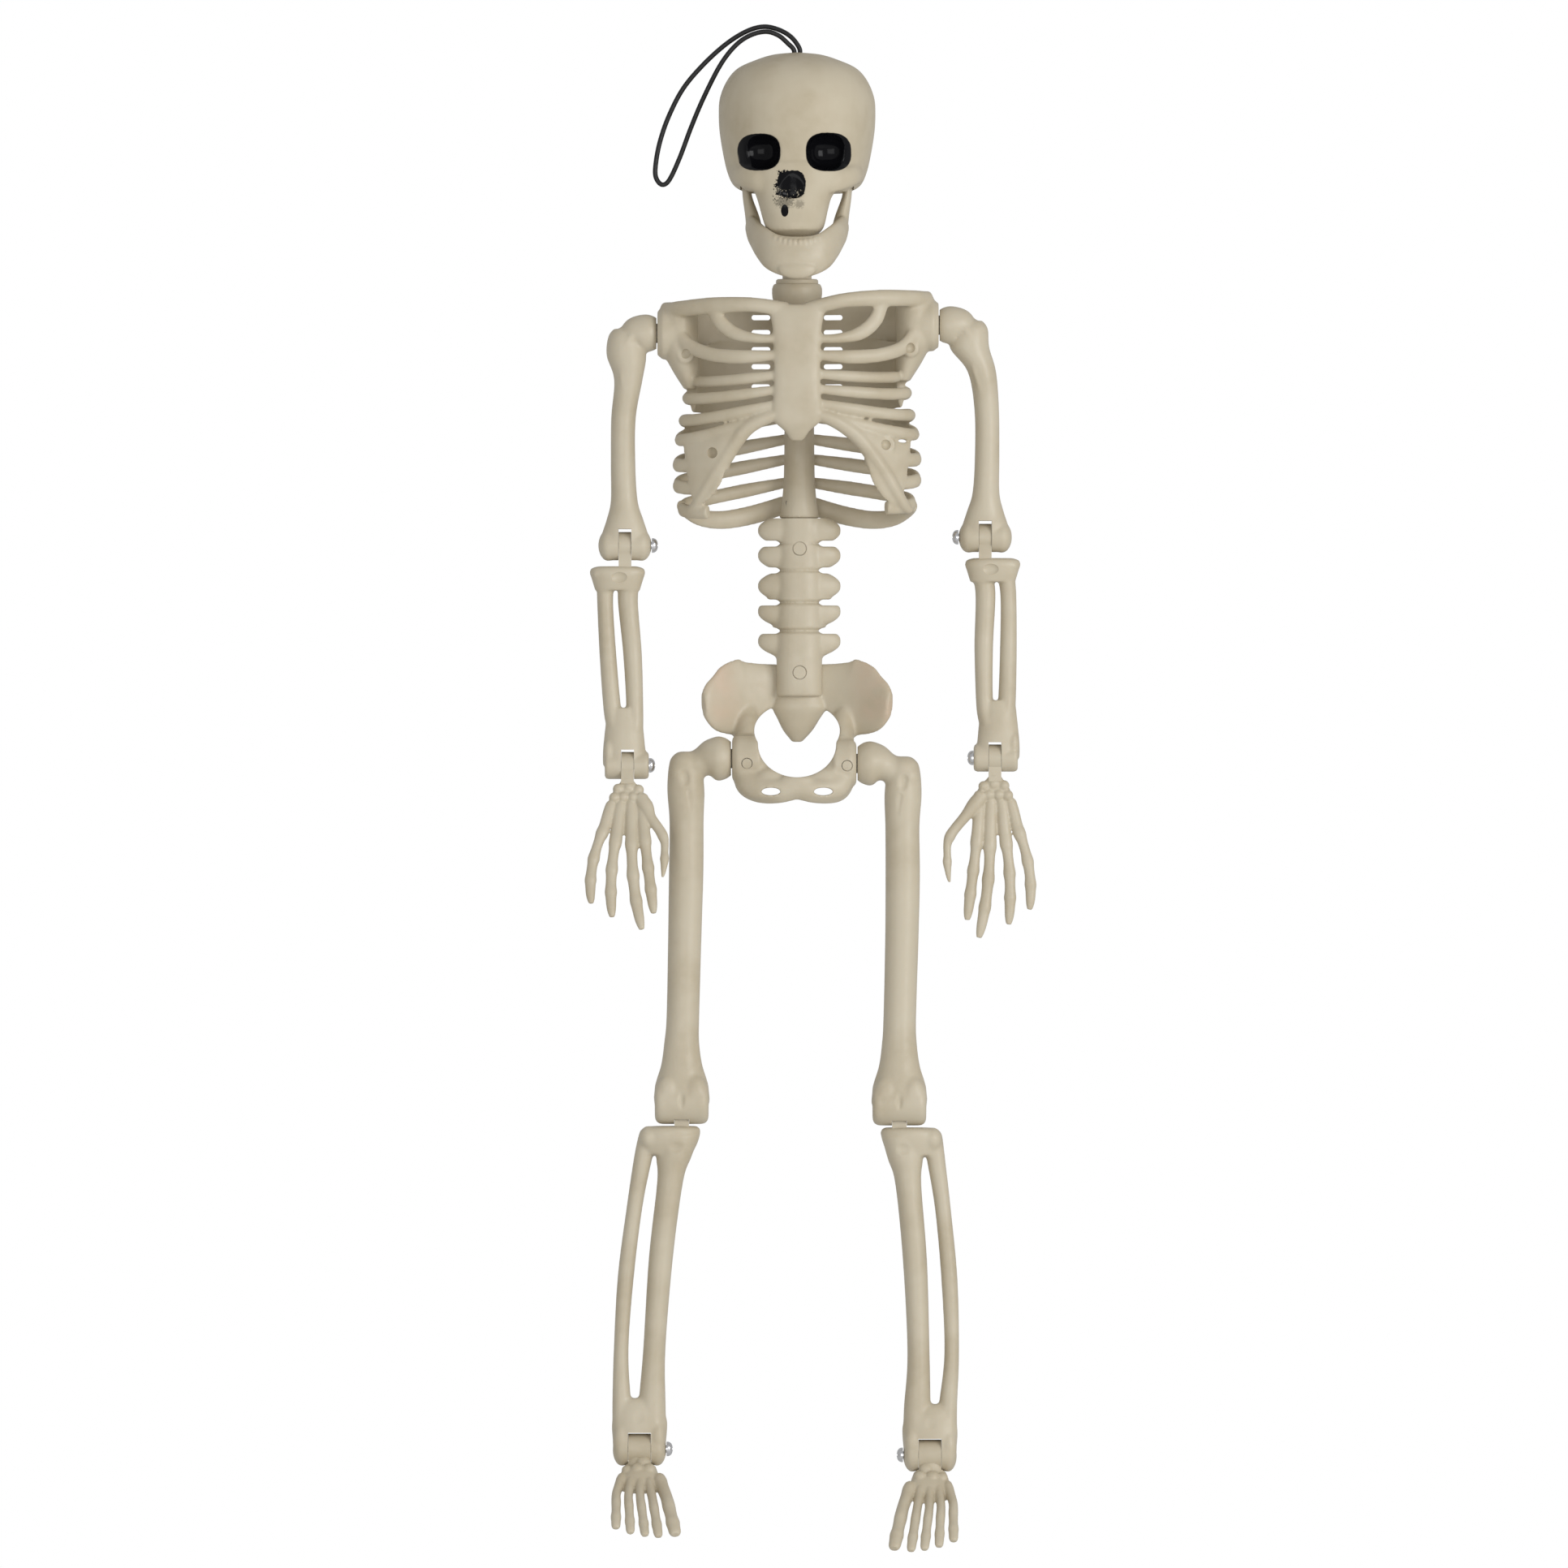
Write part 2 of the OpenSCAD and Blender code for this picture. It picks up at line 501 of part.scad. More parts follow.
module humerus(side) {
  s = side_sign(side);
  x = elbow_x[side];
  z = elbow_z[side];
  top = shoulder_z[side];
  face = shoulder_x[side] + 0.3;
  fork = 7.15;
  slot = 1.75;
  color(bone) difference() {
    union() {
      one_skin() {
        bar([[s * face, 0, top, 3.8, 3.8], [s * (face + 1.2), 0, top, 4.6, 4.6],
          [s * (face + 3.2), 0, top, 4.9, 4.9], [s * (face + 5.6), 0, top - 0.2, 4.5, 4.6],
          [s * (face + 8), 0, top - 1.2, 3.9, 4.2], [s * (face + 10), 0, top - 2.6, 3.4, 3.8]],
          ref = [0, 1, 0], sides = 14);
        loft([[s * (face + 9), 0, top + 1.2, 2.4, 2.2], [s * (face + 8.4), 0, top - 1, 4.4, 4.2],
          [s * (face + 8), 0, top - 6, 5.2, 4.6], [s * (x - 0.9), 0, mix(top, z, 0.22), 3.8, 4],
          [s * (x + 0.4), 0, mix(top, z, 0.4), 3.3, 3.5], [s * (x + 0.5), 0, mix(top, z, 0.62), 3.3, 3.5],
          [s * (x + 0.2), 0, z + 12, 3.6, 3.6], [s * x, 0, z + 7, 4.9, 4],
          [s * x, 0, z + 3, fork - 0.8, 4.1], [s * x, 0, z, fork, 4.1]], sides = 12);
        axle([0, 0, z], s * (x - fork), s * (x + fork), 4, round_fn);
      }
      peg(side, shoulder_x[side], top, 4.6);
    }
    block(s * (x - slot), s * (x + slot), -10, 10, z - 8, z + 4.4);
    axle([0, 0, z], s * (x - 9), s * x, bore_r);
    axle([0, 0, z], s * x, s * (x + fork - 1), pilot_r);
  }
}

// A pan-head screw, its head against the inner ear of a fork
module pivot_screw(side, x, z, inner, length) {
  s = side_sign(side);
  at = [0, 0, z];
  color(steel) difference() {
    union() {
      axle(at, s * (x - inner - 0.05), s * (x - inner + length), pin_r);
      axle(at, s * (x - inner - 1.1), s * (x - inner - 0.05), screw_head_r);
      axle(at, s * (x - inner - 1.7), s * (x - inner - 1.1), screw_head_r * 0.72);
    }
    for (turn = [0, 90]) translate([s * (x - inner - 1.7), 0, z]) rotate([turn, 0, 0])
      cube([1.4, 2.2, 0.5], center = true);
  }
}

module elbow_screw(side) {
  pivot_screw(side, elbow_x[side], elbow_z[side], 7.15, 13);
}

module forearm(side) {
  s = side_sign(side);
  x = elbow_x[side];
  z = elbow_z[side];
  wx = wrist_x[side];
  wz = wrist_z[side];
  tongue = 1.75 - side_gap;
  fork = 5.7;
  slot = 1.75;
  color(bone) difference() {
    one_skin() {
      axle([0, 0, z], s * (x - tongue), s * (x + tongue), 3.1, round_fn);
      loft([[s * x, 0, z, tongue, 3.1], [s * x, 0, z - 6, tongue, 3.1]], sides = 16, steps = 1);
      loft([[s * (x + 2), 0, z - 5.4, 5.6, 3], [s * (x + 2), 0, z - 6.4, 7.2, 4],
        [s * (x + 2), 0, z - 8.6, 7, 4], [s * (x + 2), 0, z - 12, 6.2, 3.4]], sides = 12);
      loft([[s * (x + 5), 0, z - 9, 2.4, 3], [s * (mix(x, wx, 0.25) + 5.5), 0, mix(z, wz, 0.25), 2.2, 2.4],
        [s * (mix(x, wx, 0.5) + 4.9), 0, mix(z, wz, 0.5), 2.3, 2.5],
        [s * (mix(x, wx, 0.76) + 3.8), 0, mix(z, wz, 0.76), 2.4, 2.6],
        [s * (wx + 2.6), 0, wz + 9, 2.6, 3]], sides = 12);
      loft([[s * (x - 1.4), 0, z - 9, 2.8, 3], [s * (mix(x, wx, 0.25) - 0.6), 0, mix(z, wz, 0.25), 2.7, 2.6],
        [s * (mix(x, wx, 0.5) - 1.7), 0, mix(z, wz, 0.5), 2.5, 2.6],
        [s * (mix(x, wx, 0.76) - 2.1), 0, mix(z, wz, 0.76), 2.3, 2.6],
        [s * (wx - 1.4), 0, wz + 9, 2.8, 3]], sides = 12);
      loft([[s * (wx + 1), 0, wz + 15.4, 4.6, 2.8], [s * (wx + 0.9), 0, wz + 11, 5.1, 3.2],
        [s * (wx + 0.9), 0, wz + 4, fork, 3.7], [s * (wx + 0.7), 0, wz, fork + 0.2, 3.8]],
        sides = 12);
      axle([0, 0, wz], s * (wx - fork), s * (wx + fork + 0.4), 3.7, round_fn);
    }
    axle([0, 0, z], s * (x - 3), s * (x + 3), bore_r);
    block(s * (wx - slot), s * (wx + slot), -10, 10, wz - 8, wz + 4.2);
    axle([0, 0, wz], s * (wx - 9), s * wx, bore_r);
    axle([0, 0, wz], s * wx, s * (wx + fork - 1), pilot_r);
  }
}

module wrist_screw(side) {
  pivot_screw(side, wrist_x[side], wrist_z[side], 5.7, 10.6);
}

// Each finger: outwards at its root and knuckle, down at the knuckle, out and down at the tip,
// outward bend and radius
fingers = [[4.2, 6.6, -20.5, 9.2, -41, 1.3, 1.45], [1.7, 3, -23.2, 3.6, -45, 0.7, 1.5],
  [-1.1, -1.4, -23.8, -4.4, -48.6, 0.7, 1.5], [-4, -4.9, -22.8, -7.5, -43.8, 0, 1.5]];

function along_finger(f, t) = mix(f[1], f[3], t) + f[5] * 4 * t * (1 - t);

module finger(s, f) {
  r = f[6];
  bar([[s * f[0], 0, -10.6, r, r], [s * mix(f[0], f[1], 0.5), -0.2, -16.4, r * 0.9, r * 0.85],
    [s * f[1], -0.4, f[2], r * 1.12, r * 1.1],
    [s * along_finger(f, 0.25), -0.4, mix(f[2], f[4], 0.25), r * 0.85, r * 0.85],
    [s * along_finger(f, 0.5), -0.2, mix(f[2], f[4], 0.5), r * 1.05, r],
    [s * along_finger(f, 0.8), 0.2, mix(f[2], f[4], 0.8), r * 0.9, r * 0.85],
    [s * f[3], 0.6, f[4], r * 0.4, r * 0.35]], ref = [0, 1, 0], sides = 7);
}

module hand(side) {
  s = side_sign(side);
  tongue = 1.75 - side_gap;
  t = thumb_in[side];
  color(bone) translate([s * wrist_x[side], 0, wrist_z[side]])
    rotate([-hand_lean[side], -s * hand_turn[side], 0]) difference() {
      one_skin() {
        axle([0, 0, 0], -tongue, tongue, 3, round_fn);
        loft([[0, 0, 0, tongue, 3], [0, 0, -5, tongue, 2.6], [-s * 0.2, 0, -7, 3.2, 2.2],
          [-s * 0.4, 0, -10, 5.2, 2.2], [-s * 0.4, 0, -14, 5.4, 2], [0, 0, -17, 3.6, 1.2]],
          sides = 12);
        for (f = fingers) finger(s, f);
        bar([[-s * 3, 0, -9, 1.4, 1.4], [-s * mix(4, t, 0.5), -0.6, -14, 1.4, 1.4],
          [-s * mix(4, t, 0.9), -1, -20, 1.5, 1.4], [-s * t, -0.8, -26, 1.3, 1.2],
          [-s * t, -0.2, -33, 0.5, 0.5]], ref = [0, 1, 0], sides = 8);
      }
      axle([0, 0, 0], -3, 3, bore_r);
    }
}

// ---- Legs ----

module femur(side) {
  s = side_sign(side);
  h = hip_x[side] + 0.3;
  top = hip_z[side];
  tx = thigh_x[side];
  x = knee_x[side];
  z = knee_z[side];
  slot = 2;
  color(bone) difference() {
    union() {
      one_skin() {
        bar([[s * h, 0, top, 4.2, 4.2], [s * (h + 1.4), 0, top, 5.3, 5.3],
          [s * (h + 3.6), 0, top, 5.8, 5.8], [s * (h + 6), 0, top - 0.2, 5.1, 5.1],
          [s * (h + 8.4), 0, top - 1, 4, 4.1], [s * (h + 12), 0, top - 3, 3.8, 4]],
          ref = [0, 1, 0], sides = 14);
        loft([[s * (tx + 0.6), 0, top + 2, 2.6, 2.6], [s * (tx + 0.7), 0, top, 4.3, 4.4],
          [s * (tx + 0.2), 0, top - 8, 4.9, 4.6], [s * tx, 0, top - 17, 4.35, 4.4],
          [s * tx, 0, top - 30, 4.2, 4.3], [s * mix(tx, x, 0.3), 0, mix(top, z, 0.52), 4.2, 4.3],
          [s * mix(tx, x, 0.8), 0, mix(top, z, 0.75), 4.3, 4.3], [s * x, 0, z + 16, 4.7, 4.4],
          [s * x, 0, z + 10, 5.4, 4.6], [s * x, 0, z + 5, 7, 5.2], [s * x, 0, z, 7.6, 6]],
          sides = 12);
        axle([0, 0, z], s * (x - 7.2), s * (x + 7.2), 6, round_fn);
      }
      peg(side, hip_x[side], top, 4.4);
    }
    block(s * (x - slot), s * (x + slot), -3.7, 20, z - 12, z + 3.9);
    axle([0, 0, z], s * (x - 5.6), s * (x + 9), pin_r + 0.15);
  }
}

module knee_pin(side) {
  s = side_sign(side);
  x = knee_x[side];
  color(steel) axle([0, 0, knee_z[side]], s * (x - 5.6), s * (x + 6.8), pin_r + 0.2);
}

module shin(side) {
  s = side_sign(side);
  x = knee_x[side];
  z = knee_z[side];
  ax = ankle_x[side];
  az = ankle_z[side];
  tongue = 2 - side_gap;
  fork = 7.2;
  slot = 3.1;
  color(bone) difference() {
    one_skin() {
      axle([0, 0, z], s * (x - tongue), s * (x + tongue), 3.4, round_fn);
      block(s * (x - tongue), s * (x + tongue), -2.6, 2.8, z - 8.6, z);
      loft([[s * (x + 2), 0.2, z - 6.5, 6, 3.2], [s * (x + 3.2), 0.2, z - 8, 8.2, 4.8],
        [s * (x + 3.8), 0.2, z - 11, 7.9, 4.4], [s * (x + 3.8), 0.2, z - 14, 7, 3.4]],
        sides = 12);
      loft([[s * (x + 0.6), 0, z - 9, 5.4, 4.6],
        [s * (mix(x, ax, 0.16) + 0.3), 0, mix(z, az, 0.16), 4.8, 4.3],
        [s * (mix(x, ax, 0.23) + 0.5), 0, mix(z, az, 0.23), 3.4, 3.6],
        [s * (mix(x, ax, 0.45) + 0.5), 0, mix(z, az, 0.45), 3.25, 3.6],
        [s * (mix(x, ax, 0.71) - 0.7), 0, mix(z, az, 0.71), 3, 3.4],
        [s * (ax - 3.4), 0, az + 13, 3.6, 3.4]], sides = 12);
      loft([[s * (x + 9), 0.4, z - 9, 2.6, 2.8],
        [s * (mix(x, ax, 0.16) + 8.5), 0.4, mix(z, az, 0.16), 2.5, 2.6],
        [s * (mix(x, ax, 0.3) + 9.2), 0.4, mix(z, az, 0.3), 2.15, 2.3],
        [s * (mix(x, ax, 0.5) + 9.3), 0.4, mix(z, az, 0.5), 2.2, 2.3],
        [s * (mix(x, ax, 0.71) + 8.2), 0.2, mix(z, az, 0.71), 2, 2.3],
        [s * (ax + 4.8), 0, az + 13, 2.4, 2.6]], sides = 12);
      loft([[s * ax, 0, az + 20, 6.2, 2.8], [s * ax, 0, az + 13, 7.1, 3.6],
        [s * ax, 0, az + 5, 7.4, 4.2], [s * ax, 0, az, fork, 4.3]], sides = 12);
      axle([0, 0, az], s * (ax - fork), s * (ax + fork), 4.2, round_fn);
    }
    axle([0, 0, z], s * (x - 3), s * (x + 3), pin_r + 0.2 + running_gap);
    block(s * (ax - slot), s * (ax + slot), -10, 10, az - 8, az + 4.4);
    axle([0, 0, az], s * (ax - 9), s * ax, bore_r);
    axle([0, 0, az], s * ax, s * (ax + fork - 1), pilot_r);
  }
}

module ankle_screw(side) {
  pivot_screw(side, ankle_x[side], ankle_z[side], 7.2, 13.2);
}

// The ears of the shin turn inside this radius
ankle_clear_r = 4.7;

// Toes, outwards at the knuckle and the tip, with length and radius
toes = [[-7, -9.6, 35.6, 1.85], [-3.4, -5.3, 36.6, 1.6], [-0.2, -1.7, 36, 1.55],
  [2.9, 2.2, 34.6, 1.5], [6.1, 6.1, 32, 1.5]];

module foot(side) {
  s = side_sign(side);
  tongue = 3.1 - side_gap;
  color(bone) translate([s * ankle_x[side], 0, ankle_z[side]]) difference() {
    one_skin() {
      axle([0, 0, 0], -tongue, tongue, 3.3, round_fn);
      loft([[0, 0, 0.5, tongue - 0.6, 3], [0, -0.6, -5.2, tongue, 3.6], [0, -1, -9, 4, 5],
        [0, -1, -11, 3.4, 4.4]], sides = 12);
      rotate([foot_slope[side], 0, 0]) translate([0, 0, -4.2]) {
        bar([[s * 0.4, 6.6, -5, 2.6, 2.6], [s * 0.2, 3.4, -3.2, 3.2, 3.4], [0, -2, -1, 3.8, 3.6],
          [-s * 0.4, -8, 0, 5.2, 3], [-s * 0.6, -13, -0.4, 6.2, 1.8], [-s * 0.6, -15.6, -0.8, 6, 1.1]],
          sides = 12);
        for (t = toes) bar([[s * t[0] * 0.64, -8.6, 0.1, t[3], t[3]],
          [s * t[0] * 0.96, -t[2] * 0.5, -0.2, t[3] * 0.9, t[3]],
          [s * mix(t[0], t[1], 0.5), -t[2] * 0.8, -0.9, t[3] * 1.15, t[3] * 1.1],
          [s * t[1], -t[2], -2.2, t[3] * 0.6, t[3] * 0.5]], sides = 6);
      }
    }
    axle([0, 0, 0], -5, 5, bore_r);
    for (e = [-1, 1]) axle([0, 0, 0], e * tongue, e * 12, ankle_clear_r, round_fn);
  }
}

skull_front();
skull_back();
jaw();
jaw_pins();
hanging_cord();
cord_knot();
neck();
ribcage_front();
ribcage_back();
lumbar_spine();
pelvis_front();
pelvis_back();
humerus(right);  // humerus_right
humerus(left);  // humerus_left
elbow_screw(right);  // elbow_screw_right
elbow_screw(left);  // elbow_screw_left
forearm(right);  // forearm_right
forearm(left);  // forearm_left
wrist_screw(right);  // wrist_screw_right
wrist_screw(left);  // wrist_screw_left
hand(right);  // hand_right
hand(left);  // hand_left
femur(right);  // femur_right
femur(left);  // femur_left
knee_pin(right);  // knee_pin_right
knee_pin(left);  // knee_pin_left
shin(right);  // shin_right
shin(left);  // shin_left
ankle_screw(right);  // ankle_screw_right
ankle_screw(left);  // ankle_screw_left
foot(right);  // foot_right
foot(left);  // foot_left
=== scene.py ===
"""Posable hanging skeleton figure: the looks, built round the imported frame."""

import json
import math

import bpy
import numpy as np
from mathutils import Euler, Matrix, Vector


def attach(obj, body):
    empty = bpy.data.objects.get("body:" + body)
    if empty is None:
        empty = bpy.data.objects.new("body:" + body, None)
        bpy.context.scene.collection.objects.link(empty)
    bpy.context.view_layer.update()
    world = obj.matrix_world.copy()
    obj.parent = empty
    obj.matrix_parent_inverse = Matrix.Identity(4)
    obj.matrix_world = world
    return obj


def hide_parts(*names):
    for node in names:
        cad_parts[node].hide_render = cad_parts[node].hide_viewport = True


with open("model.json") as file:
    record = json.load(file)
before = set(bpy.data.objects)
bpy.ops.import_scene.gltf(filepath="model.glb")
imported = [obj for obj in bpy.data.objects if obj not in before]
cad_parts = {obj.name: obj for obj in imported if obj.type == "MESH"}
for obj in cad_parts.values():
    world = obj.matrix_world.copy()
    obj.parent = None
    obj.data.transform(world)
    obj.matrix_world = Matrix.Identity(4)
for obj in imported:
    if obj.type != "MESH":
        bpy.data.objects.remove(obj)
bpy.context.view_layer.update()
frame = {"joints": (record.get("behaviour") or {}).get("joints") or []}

MM = 0.001
SIDES = {"right": -1.0, "left": 1.0}


# ---- Places, in millimetres, from the frame ----

def pivot(name):
    """A joint's place in the row frame, in millimetres."""
    joint = next(j for j in frame["joints"] if j["name"] == name)
    return np.array(joint["pos_m"], float) / MM


# ---- Camera ----

def add_camera():
    """Straight on, level with the middle of the figure."""
    target = Vector((-0.0035, 0.0, -0.1959))
    distance = 5.0
    field = 0.42
    data = bpy.data.cameras.new("camera")
    data.sensor_width = 36.0
    data.lens = data.sensor_width * distance / field
    data.clip_start = 0.05
    data.clip_end = 20.0
    camera = bpy.data.objects.new("camera", data)
    bpy.context.scene.collection.objects.link(camera)
    camera.location = target + Vector((0.0, -distance, 0.0))
    camera.rotation_euler = (math.pi / 2, 0.0, 0.0)
    bpy.context.scene.camera = camera


add_camera()


# ---- Shared shapes: each returns (points, faces), in millimetres ----

def spline(rows, steps):
    """Smooth rows of numbers, with that many steps between neighbours."""
    rows = np.array(rows, float)
    last = len(rows) - 1
    out = []
    for i in range(last):
        a, b, c, d = rows[max(i - 1, 0)], rows[i], rows[i + 1], rows[min(i + 2, last)]
        for t in np.arange(steps) / steps:
            out.append(0.5 * (2 * b + (c - a) * t + (2 * a - 5 * b + 4 * c - d) * t * t
                              + (3 * b - a - 3 * c + d) * t ** 3))
    out.append(rows[last])
    return np.array(out)


def closed_rings(rings):
    """A stack of rings, each with as many points, closed at both ends."""
    n = len(rings[0])
    faces = [tuple(reversed(range(n)))]
    for k in range(len(rings) - 1):
        for i in range(n):
            j = (i + 1) % n
            faces.append((k * n + i, k * n + j, (k + 1) * n + j, (k + 1) * n + i))
    faces.append(tuple((len(rings) - 1) * n + i for i in range(n)))
    return np.concatenate(rings), faces


def circle(sides, power=1.0):
    """Cosines and sines round a circle, pushed towards a square by a power under 1."""
    angle = 2 * math.pi * np.arange(sides) / sides
    c, s = np.cos(angle), np.sin(angle)
    if power == 1:
        return c, s
    return np.sign(c) * abs(c) ** power, np.sign(s) * abs(s) ** power


def loop_at(x, y, z):
    """A ring of points from its coordinates, any of which may be one number for all."""
    return np.stack(np.broadcast_arrays(x, y, z), 1).astype(float)


def ring_at(at, r, z, sides):
    """A level circle."""
    c, s = circle(sides)
    return loop_at(at[0] + r * c, at[1] - r * s, z)


def turned(at, profile, sides=96):
    """A turned shape from (radius, z) rows, listed from the top down."""
    return closed_rings([ring_at(at, r, z, sides) for r, z in profile])


def flip(s, rows):
    """Rows drawn for the figure's left, kept for s = 1 and mirrored to its right for s = -1."""
    return [(s * row[0], *row[1:]) for row in rows]


def along(a, b):
    """Gives the number a share t of the way from a to b."""
    return lambda t: a + (b - a) * t


def loft(rings, sides=32, steps=6, square=1.0):
    """Level rings [x, y, z, half width, half depth], from the top down. square under 1 is boxier."""
    c, s = circle(sides, square)
    return closed_rings([loop_at(x + max(w, 0.05) * c, y - max(d, 0.05) * s, z)
                         for x, y, z, w, d in spline(rings, steps)])


def bar(points, ref=(0, 0, 1), sides=20, steps=6):
    """A bar along points [x, y, z, radius across, radius towards ref]."""
    line = spline(points, steps)
    line[:, 3:] = np.maximum(line[:, 3:], 0.05)
    c, s = circle(sides)
    ref = np.array(ref, float)
    out = []
    for k in range(len(line)):
        along = line[min(k + 1, len(line) - 1), :3] - line[max(k - 1, 0), :3]
        across = np.cross(along, ref)
        across /= np.linalg.norm(across)
        other = np.cross(across, along)
        other /= np.linalg.norm(other)
        out.append(line[k, :3] + across * line[k, 3] * c[:, None] - other * line[k, 4] * s[:, None])
    return closed_rings(out)


def ellipsoid(at, radii, turn=(0, 0, 0), sides=32):
    """An ellipsoid, turned about X, then Y, then Z by those degrees."""
    steps = sides // 2
    c, s = circle(sides)
    ups = [math.pi / 2 - math.pi * k / steps for k in range(1, steps)]
    points, faces = closed_rings([loop_at(math.cos(up) * c, -math.cos(up) * s, math.sin(up)) for up in ups])
    matrix = np.array(Euler([math.radians(a) for a in turn]).to_matrix())
    return (points * np.array(radii, float)) @ matrix.T + np.array(at, float), faces


def axle(at, x0, x1, radius, sides=48, edge=0.0):
    """A round bar across the figure from x0 to x1, with edges rounded by edge."""
    low, high = min(x0, x1), max(x0, x1)
    c, s = circle(sides)
    stations = [(low, radius - edge), (low + edge * 0.3, radius - edge * 0.3), (low + edge, radius),
                (high - edge, radius), (high - edge * 0.3, radius - edge * 0.3), (high, radius - edge)]
    if not edge:
        stations = [(low, radius), (high, radius)]
    return closed_rings([loop_at(x, at[1] + r * c, at[2] - r * s) for x, r in reversed(stations)])


def block(x0, x1, y0, y1, z0, z1):
    """A box between those limits."""
    x0, x1 = min(x0, x1), max(x0, x1)
    x, y = [x0, x0, x1, x1], [y0, y1, y1, y0]
    return closed_rings([loop_at(x, y, z) for z in (z1, z0)])


def upright(at, radius, z0, z1, sides=48):
    """A round bar along Z."""
    return closed_rings([ring_at(at, radius, z, sides) for z in (max(z0, z1), min(z0, z1))])


def oval_bar(at, half_w, half_h, y0, y1, sides=48):
    """An oval bar along Y, at (x, z)."""
    c, s = circle(sides)
    return closed_rings([loop_at(at[0] + half_w * c, y, at[1] + half_h * s)
                         for y in (max(y0, y1), min(y0, y1))])


def through(at, radius, y0, y1, sides=32):
    """A round bar along Y, at (x, z)."""
    return oval_bar(at, radius, radius, y0, y1, sides)


def moved(shapes, by):
    """Shapes shifted from where they were drawn."""
    return [(np.asarray(p) + by, f) for p, f in shapes]


# ---- Meshes ----

def new_object(name, shapes):
    """One object from shapes, each (points, faces)."""
    points, faces, base = [], [], 0
    for p, f in shapes:
        points.append(np.asarray(p, float))
        faces += [tuple(base + i for i in face) for face in f]
        base += len(p)
    mesh = bpy.data.meshes.new(name)
    mesh.from_pydata((np.concatenate(points) * MM).tolist(), [], faces)
    obj = bpy.data.objects.new(name, mesh)
    bpy.context.scene.collection.objects.link(obj)
    return obj


def settle(obj):
    """Applies obj's modifiers to its mesh."""
    graph = bpy.context.evaluated_depsgraph_get()
    mesh = bpy.data.meshes.new_from_object(obj.evaluated_get(graph))
    old = obj.data
    obj.modifiers.clear()
    obj.data = mesh
    bpy.data.meshes.remove(old)
    mesh.name = obj.name


def fuse(obj, voxel, passes):
    """Joins the overlapping shells of obj into one skin and smooths it."""
    remesh = obj.modifiers.new("remesh", "REMESH")
    remesh.mode = "VOXEL"
    remesh.voxel_size = voxel * MM
    remesh.adaptivity = 0.0
    smooth = obj.modifiers.new("smooth", "SMOOTH")
    smooth.factor = 0.5
    smooth.iterations = passes
    settle(obj)


def fused(name, shapes, voxel, passes):
    """One object whose overlapping shapes are joined into one skin."""
    obj = new_object(name, shapes)
    fuse(obj, voxel, passes)
    return obj


def carve(obj, shapes, how="DIFFERENCE"):
    """Cuts shapes out of obj, or keeps what they hold."""
    for shape in shapes:
        tool = new_object("tool", [shape])
        cut = obj.modifiers.new("cut", "BOOLEAN")
        cut.operation = how
        cut.solver = "MANIFOLD"
        cut.object = tool
        settle(obj)
        bpy.data.objects.remove(tool)


def join_shapes(piece, shapes):
    """Adds shapes to a piece and joins them into its skin."""
    carve(piece, shapes, "UNION")


def shade(obj, angle=35):
    """Smooth shading, with edges sharper than the angle left sharp."""
    obj.data.shade_smooth()
    obj.data.set_sharp_from_angle(angle=math.radians(angle))
    return obj


# ---- Head ----

SEAM_Y = pivot("neck_turn")[1]
JAW = pivot("jaw_open")
SKULL_W, SKULL_FRONT, SKULL_BACK = 21.0, 23.0, 28.0
PIN_R = 1.0
GAP = 0.06
FACE_X = -1.0            # the face was moulded a little off the skull's middle
EYES = {-1: (-10.2, -27.3, 5.6, 4.8), 1: (8.4, -27.3, 5.9, 5.0)}   # x, z, half width, half height


def cranium():
    """Height, half width, front and back, as shares of the skull's size."""
    rows = [(0, 0.02, -0.1, 0.1), (-0.5, 0.3, -0.26, 0.3), (-1.9, 0.52, -0.5, 0.5), (-4.2, 0.76, -0.71, 0.7),
            (-7.6, 0.9, -0.86, 0.84), (-12, 0.985, -0.95, 0.94), (-16, 1, -0.985, 0.985), (-21, 0.99, -1, 1),
            (-27, 0.945, -0.95, 0.97), (-32, 0.89, -0.9, 0.86), (-35.6, 0.81, -0.84, 0.68),
            (-37.6, 0.66, -0.76, 0.5)]
    return loft([(0, (f * SKULL_FRONT + b * SKULL_BACK) / 2, z, w * SKULL_W,
                  (b * SKULL_BACK - f * SKULL_FRONT) / 2) for z, w, f, b in rows], sides=64, square=0.94)


def skull_cavity():
    return loft([(0, 1, -2.2, 4, 5), (0, 2, -4.4, 11.5, 11), (0, 2.4, -8, 16, 16.6), (0, 2.6, -13, 18, 20),
                 (0, 3.6, -20, 18.4, 21), (0, 4.6, -26, 16.8, 19), (0, 4, -29.4, 11, 16),
                 (0, 2.5, -33, 9.4, 10), (0, 4, -37.6, 6, 6)], sides=40, steps=4)


